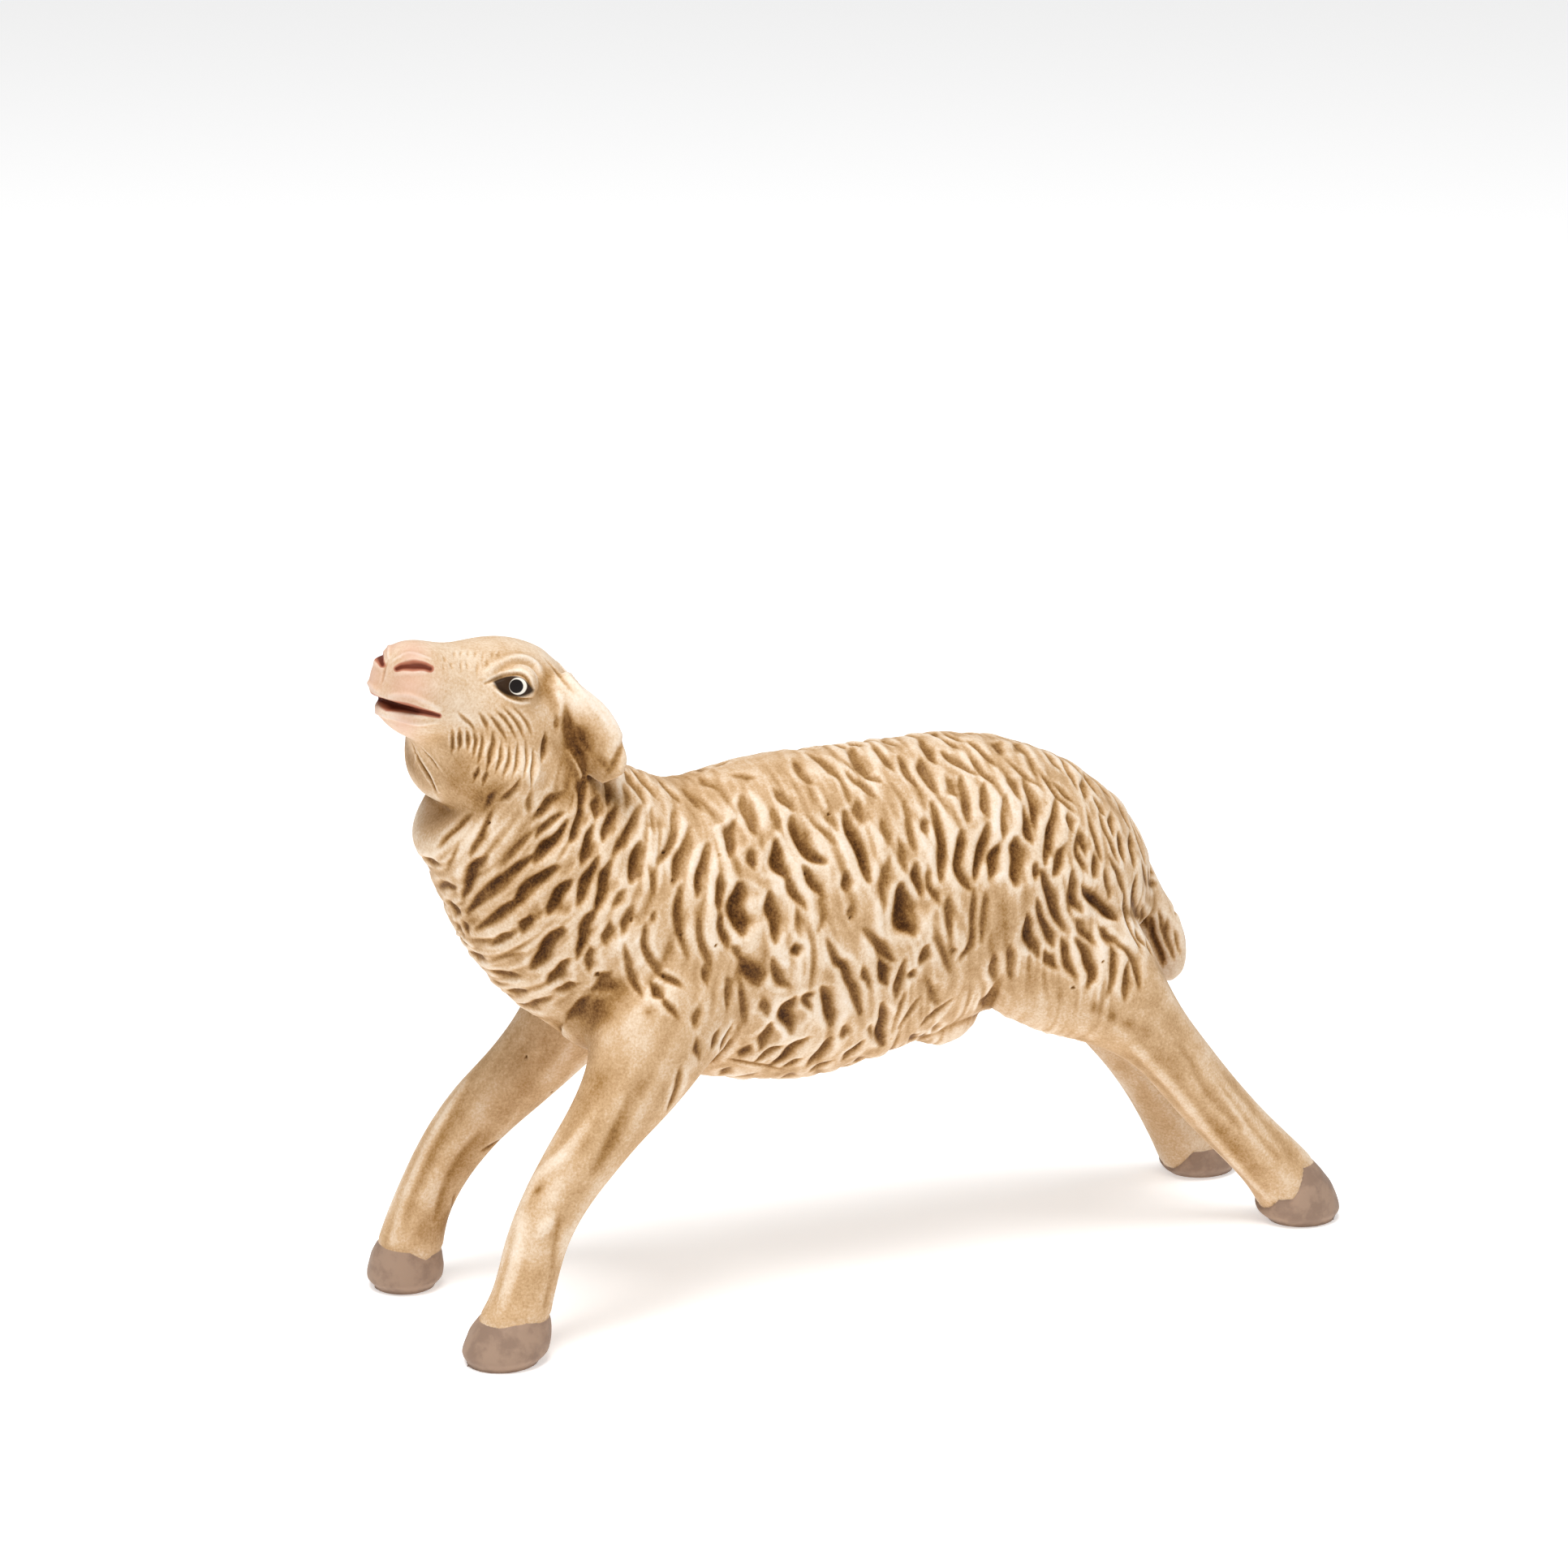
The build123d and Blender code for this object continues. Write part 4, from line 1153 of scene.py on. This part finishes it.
# materials
paint = {
    "wipedAndLit": (0.87, 0.76, 0.645),
    "ridge": (0.79, 0.635, 0.475),
    "flank": (0.60, 0.395, 0.22),
    "tan": (0.36, 0.195, 0.068),
    "brown": (0.175, 0.075, 0.018),
    "dark": (0.05, 0.016, 0.003),
    "hoof": (0.36, 0.245, 0.175),
    "hoofWorn": (0.28, 0.187, 0.135),
    "blush": (0.68, 0.42, 0.31),
    "lipEdge": (0.46, 0.17, 0.10),
    "lipInside": (0.13, 0.026, 0.012),
    "eyeLine": (0.035, 0.017, 0.007),
    "eyeWhite": (0.86, 0.80, 0.70),
    "pupil": (0.012, 0.009, 0.008),
}


def colour(name):
    return (*paint[name], 1.0)


def addNode(tree, kind, x, y, settings=None, **values):
    node = tree.nodes.new(kind)
    node.location = (x, y)
    for name, value in values.items():
        setattr(node, name, value)
    for name, value in (settings or {}).items():
        node.inputs[name].default_value = value
    return node


def newGroup(name, inputs, outputs):
    tree = bpy.data.node_groups.new(name, "ShaderNodeTree")
    for socket, kind in inputs:
        tree.interface.new_socket(socket, in_out="INPUT", socket_type="NodeSocket" + kind)
    for socket, kind in outputs:
        tree.interface.new_socket(socket, in_out="OUTPUT", socket_type="NodeSocket" + kind)
    return tree, addNode(tree, "NodeGroupInput", -900, 0), addNode(tree, "NodeGroupOutput", 900, 0)


def fade(tree, x, y, source, low, high):
    # 0 below low and 1 above high, or the other way round
    limits = {"From Min": low, "From Max": high}
    node = addNode(tree, "ShaderNodeMapRange", x, y, limits, interpolation_type="SMOOTHSTEP")
    tree.links.new(source, node.inputs["Value"])
    return node.outputs["Result"]


def layer(tree, x, y, mask, under, over):
    node = addNode(tree, "ShaderNodeMix", x, y, data_type="RGBA")
    tree.links.new(mask, node.inputs["Factor"])
    tree.links.new(under, node.inputs["A"])
    if isinstance(over, str):
        node.inputs["B"].default_value = colour(over)
    else:
        tree.links.new(over, node.inputs["B"])
    return node.outputs["Result"]


# brushed paint: fine stipple, drifting tone and little dark specks
grain, grainIn, grainOut = newGroup("brushedPaint", [("Place", "Vector")],
                                    [("Stipple", "Float"), ("Drift", "Float"), ("Specks", "Float")])
stipple = addNode(grain, "ShaderNodeTexNoise", -500, 200, {"Scale": 3600, "Detail": 3, "Roughness": 0.7})
drift = addNode(grain, "ShaderNodeTexNoise", -500, -100, {"Scale": 420, "Detail": 4, "Roughness": 0.62})
spots = addNode(grain, "ShaderNodeTexNoise", -500, -400, {"Scale": 1500, "Detail": 3, "Roughness": 0.7})
for node in (stipple, drift, spots):
    grain.links.new(grainIn.outputs["Place"], node.inputs["Vector"])
grain.links.new(stipple.outputs["Fac"], grainOut.inputs["Stipple"])
grain.links.new(drift.outputs["Fac"], grainOut.inputs["Drift"])
grain.links.new(fade(grain, -200, -400, spots.outputs["Fac"], 0.66, 0.8), grainOut.inputs["Specks"])

# brown wash over cream paint: it lies in the hollows and is wiped off the ridges; painted shade and light are
# laid into the same wash
washAndShadeGroup, washAndShadeIn, washAndShadeOut = newGroup("brownWashAndShade", [("WashAndShade", "Float"), ("Stipple", "Float"), ("Drift", "Float"),
                                               ("Specks", "Float")], [("Color", "Color")])
steps = [("Stipple", 0.5), ("Drift", 0.36), ("Specks", 0.22)]
total = washAndShadeIn.outputs["WashAndShade"]
for k, (socket, strength) in enumerate(steps):
    node = addNode(washAndShadeGroup, "ShaderNodeMath", -600 + 180 * k, 100, {1: strength}, operation="MULTIPLY_ADD")
    washAndShadeGroup.links.new(washAndShadeIn.outputs[socket], node.inputs[0])
    washAndShadeGroup.links.new(total, node.inputs[2])
    total = node.outputs["Value"]
shift = addNode(washAndShadeGroup, "ShaderNodeMath", 0, 100, {1: 0.41}, operation="SUBTRACT")
washAndShadeGroup.links.new(total, shift.inputs[0])
ramp = addNode(washAndShadeGroup, "ShaderNodeValToRGB", 250, 100)
stops = [(0.0, "wipedAndLit"), (0.17, "ridge"), (0.4, "flank"), (0.66, "tan"), (0.85, "brown"), (1.0, "dark")]
while len(ramp.color_ramp.elements) < len(stops):
    ramp.color_ramp.elements.new(0.5)
for element, (position, tone) in zip(ramp.color_ramp.elements, stops):
    element.position = position
    element.color = colour(tone)
washAndShadeGroup.links.new(shift.outputs["Value"], ramp.inputs["Fac"])
washAndShadeGroup.links.new(ramp.outputs["Color"], washAndShadeOut.inputs["Color"])


def startPaint(name, bumpDistance):
    material = bpy.data.materials.new(name)
    material.use_nodes = True
    tree = material.node_tree
    tree.nodes.clear()
    output = addNode(tree, "ShaderNodeOutputMaterial", 1500, 0)
    shader = addNode(tree, "ShaderNodeBsdfPrincipled", 1200, 0, {"Specular IOR Level": 0.1,
                                                                "Coat IOR": 1.2, "Coat Roughness": 0.4})
    tree.links.new(shader.outputs["BSDF"], output.inputs["Surface"])
    place = addNode(tree, "ShaderNodeTexCoord", -1100, 0)
    washAndShade = addNode(tree, "ShaderNodeAttribute", -1100, 300, attribute_name="washAndShade")
    brushed = addNode(tree, "ShaderNodeGroup", -800, 0, node_tree=grain)
    tree.links.new(place.outputs["Object"], brushed.inputs["Place"])
    coat = addNode(tree, "ShaderNodeMapRange", 800, 300, {"From Max": 0.8, "To Min": 0.1, "To Max": 0.0})
    tree.links.new(washAndShade.outputs["Fac"], coat.inputs["Value"])
    tree.links.new(coat.outputs["Result"], shader.inputs["Coat Weight"])
    washedAndShaded = addNode(tree, "ShaderNodeGroup", -500, 200, node_tree=washAndShadeGroup)
    tree.links.new(washAndShade.outputs["Fac"], washedAndShaded.inputs["WashAndShade"])
    for socket in ("Stipple", "Drift", "Specks"):
        tree.links.new(brushed.outputs[socket], washedAndShaded.inputs[socket])
    sheen = addNode(tree, "ShaderNodeMapRange", 800, -200, {"To Min": 0.38, "To Max": 0.62})
    tree.links.new(brushed.outputs["Drift"], sheen.inputs["Value"])
    tree.links.new(sheen.outputs["Result"], shader.inputs["Roughness"])
    bump = addNode(tree, "ShaderNodeBump", 800, -450, {"Strength": 0.5, "Distance": bumpDistance})
    tree.links.new(brushed.outputs["Stipple"], bump.inputs["Height"])
    tree.links.new(bump.outputs["Normal"], shader.inputs["Normal"])
    return material, tree, shader, washedAndShaded.outputs["Color"]


fleecePaint, tree, shader, tone = startPaint("paintedFleece", bumpDistance=0.00006)
tree.links.new(tone, shader.inputs["Base Color"])

legPaint, tree, shader, tone = startPaint("paintedLeg", bumpDistance=0.00005)
above = addNode(tree, "ShaderNodeAttribute", -500, -300, attribute_name="aboveHoof")
brushed = next(n for n in tree.nodes if n.type == "GROUP" and n.node_tree == grain)
hoofTone = addNode(tree, "ShaderNodeMix", 200, -100, data_type="RGBA")
hoofTone.inputs["A"].default_value = colour("hoofWorn")
hoofTone.inputs["B"].default_value = colour("hoof")
tree.links.new(fade(tree, 0, -500, brushed.outputs["Drift"], 0.38, 0.6), hoofTone.inputs["Factor"])
onPaint = fade(tree, -200, -300, above.outputs["Fac"], 0.07, -0.07)
tone = layer(tree, 600, 100, onPaint, tone, hoofTone.outputs["Result"])
tree.links.new(tone, shader.inputs["Base Color"])

facePaint, tree, shader, tone = startPaint("paintedFace", bumpDistance=0.00004)
blushed = addNode(tree, "ShaderNodeAttribute", -500, -100, attribute_name="blush")
tone = layer(tree, -100, 200, blushed.outputs["Fac"], tone, "blush")
lipped = addNode(tree, "ShaderNodeAttribute", -500, -300, attribute_name="lips")
tone = layer(tree, 100, 200, fade(tree, -200, -300, lipped.outputs["Fac"], 0.0, 0.35), tone, "lipEdge")
tone = layer(tree, 300, 200, fade(tree, 0, -300, lipped.outputs["Fac"], 0.3, 0.75), tone, "lipInside")
flat = addNode(tree, "ShaderNodeAttribute", -500, -600, attribute_name="faceFlat")


# eye: middle and half size of each round shape on the flat plane, then where it fades in and out
eye = {
    "lidAbove": ((-0.83, 1.9), (3.3, 3.3), 0.91, 1.05),
    "lidBelow": ((0.03, -1.8), (3.3, 3.3), 0.91, 1.05),
    "white": ((0.13, 0.05), (1.1, 1.06), 0.93, 1.04),
    "pupil": ((-0.08, 0.05), (0.87, 0.87), 0.92, 1.06),
}


def eyeShape(x, y, name):
    middle, size, inner, outer = eye[name]
    mapping = addNode(tree, "ShaderNodeMapping", x, y, vector_type="TEXTURE")
    mapping.inputs["Location"].default_value = (*middle, 0)
    mapping.inputs["Scale"].default_value = (*size, 1)
    tree.links.new(flat.outputs["Vector"], mapping.inputs["Vector"])
    length = addNode(tree, "ShaderNodeVectorMath", x + 200, y, operation="LENGTH")
    tree.links.new(mapping.outputs["Vector"], length.inputs[0])
    return fade(tree, x + 400, y, length.outputs["Value"], outer, inner)


almond = addNode(tree, "ShaderNodeMath", 300, -600, operation="MULTIPLY")
tree.links.new(eyeShape(-300, -600, "lidAbove"), almond.inputs[0])
tree.links.new(eyeShape(-300, -1500, "lidBelow"), almond.inputs[1])
tone = layer(tree, 500, 200, almond.outputs["Value"], tone, "eyeLine")
tone = layer(tree, 700, 200, eyeShape(-300, -900, "white"), tone, "eyeWhite")
tone = layer(tree, 900, 200, eyeShape(-300, -1200, "pupil"), tone, "pupil")
tree.links.new(tone, shader.inputs["Base Color"])

steel = bpy.data.materials.new("wireSteel")
steel.use_nodes = True
steelTree = steel.node_tree
steelShader = steelTree.nodes["Principled BSDF"]
steelShader.inputs["Base Color"].default_value = (0.55, 0.55, 0.56, 1)
steelShader.inputs["Metallic"].default_value = 1.0
steelPlace = addNode(steelTree, "ShaderNodeTexCoord", -800, 0)
drawn = addNode(steelTree, "ShaderNodeTexNoise", -600, 0, {"Scale": 2500, "Detail": 2})
steelTree.links.new(steelPlace.outputs["Object"], drawn.inputs["Vector"])
drawnRough = addNode(steelTree, "ShaderNodeMapRange", -300, 0, {"To Min": 0.28, "To Max": 0.5})
steelTree.links.new(drawn.outputs["Fac"], drawnRough.inputs["Value"])
steelTree.links.new(drawnRough.outputs["Result"], steelShader.inputs["Roughness"])

finish = {"painted_face": facePaint, "painted_fleece": fleecePaint, "painted_leg": legPaint}
slots = {
    "head": "painted_face",
    "left_ear": "painted_face",
    "right_ear": "painted_face",
    "body_left_shell": "painted_fleece",
    "body_right_shell": "painted_fleece",
    "tail": "painted_fleece",
}
for nodeName, piece in pieces.items():
    mesh = piece.data
    mesh.transform(Matrix.Scale(millimetre, 4))
    mesh.polygons.foreach_set("use_smooth", np.ones(len(mesh.polygons), bool))
    normals = np.empty(len(mesh.vertices) * 3, np.float32)
    mesh.attributes["skinNormal"].data.foreach_get("vector", normals)
    corner = np.empty(len(mesh.loops), np.int64)
    mesh.loops.foreach_get("vertex_index", corner)
    cornerNormals = unit(normals.reshape(-1, 3)[corner])
    caps = np.empty(len(mesh.polygons), np.int32)
    mesh.attributes["cap"].data.foreach_get("value", caps)
    for index in np.flatnonzero(caps):
        face = mesh.polygons[index]
        cornerNormals[list(face.loop_indices)] = face.normal
    mesh.normals_split_custom_set(cornerNormals.tolist())
    mesh.materials.clear()
    slot = slots.get(nodeName, "painted_leg")
    mesh.materials.append(finish[slot])
    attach(piece, "root")
    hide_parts(nodeName)
for nodeName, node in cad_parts.items():
    if nodeName.endswith("_wire"):
        node.material_slots[0].material = steel

# floor, light and camera
studio = {
    "floorSize": 8,
    "floorDrop": 0.00006,  # keeps the floor clear of the soles
    "floor": 0.92,
    "glow": 0.42,
    "sky": 0.4,
    "aim": (0, 0, 0.04),
    "key": ((-0.2, -0.22, 1.0), 0.5, 9.3),  # place, size and power
    "fill": ((-0.5, -0.9, 0.5), 0.6, 0.5),
}
bpy.ops.mesh.primitive_plane_add(size=studio["floorSize"], location=(0, 0, -studio["floorDrop"]))
floor = bpy.context.object
floor.name = "floor"
floorPaint = bpy.data.materials.new("paleFloor")
floorPaint.use_nodes = True
floorShader = floorPaint.node_tree.nodes["Principled BSDF"]
floorShader.inputs["Base Color"].default_value = (*[studio["floor"]] * 3, 1)
floorShader.inputs["Roughness"].default_value = 0.9
floorShader.inputs["Emission Color"].default_value = (1, 1, 1, 1)
floorShader.inputs["Emission Strength"].default_value = studio["glow"]
floor.data.materials.append(floorPaint)
floor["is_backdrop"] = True

world = bpy.data.worlds.new("studio")
world.use_nodes = True
world.node_tree.nodes["Background"].inputs["Color"].default_value = (1, 1, 1, 1)
world.node_tree.nodes["Background"].inputs["Strength"].default_value = studio["sky"]
bpy.context.scene.world = world


def softbox(name, place, size, power):
    light = bpy.data.lights.new(name, "AREA")
    light.size = size
    light.energy = power
    lamp = bpy.data.objects.new(name, light)
    bpy.context.scene.collection.objects.link(lamp)
    lamp.location = place
    lamp.rotation_euler = (Vector(studio["aim"]) - Vector(place)).to_track_quat("-Z", "Y").to_euler()


softbox("keyLight", *studio["key"])
softbox("fillLight", *studio["fill"])

cameraData = bpy.data.cameras.new("photoCamera")
cameraData.lens = camera["lens"]
cameraData.sensor_width = camera["sensor"]
photoCamera = bpy.data.objects.new("photoCamera", cameraData)
bpy.context.scene.collection.objects.link(photoCamera)
photoCamera.location = [c * millimetre for c in camera["place"]]
photoCamera.rotation_euler = Vector(ahead).to_track_quat("-Z", "Y").to_euler()
bpy.context.scene.camera = photoCamera
bpy.context.scene.view_settings.view_transform = "Standard"

low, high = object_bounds()
print("stage: done")
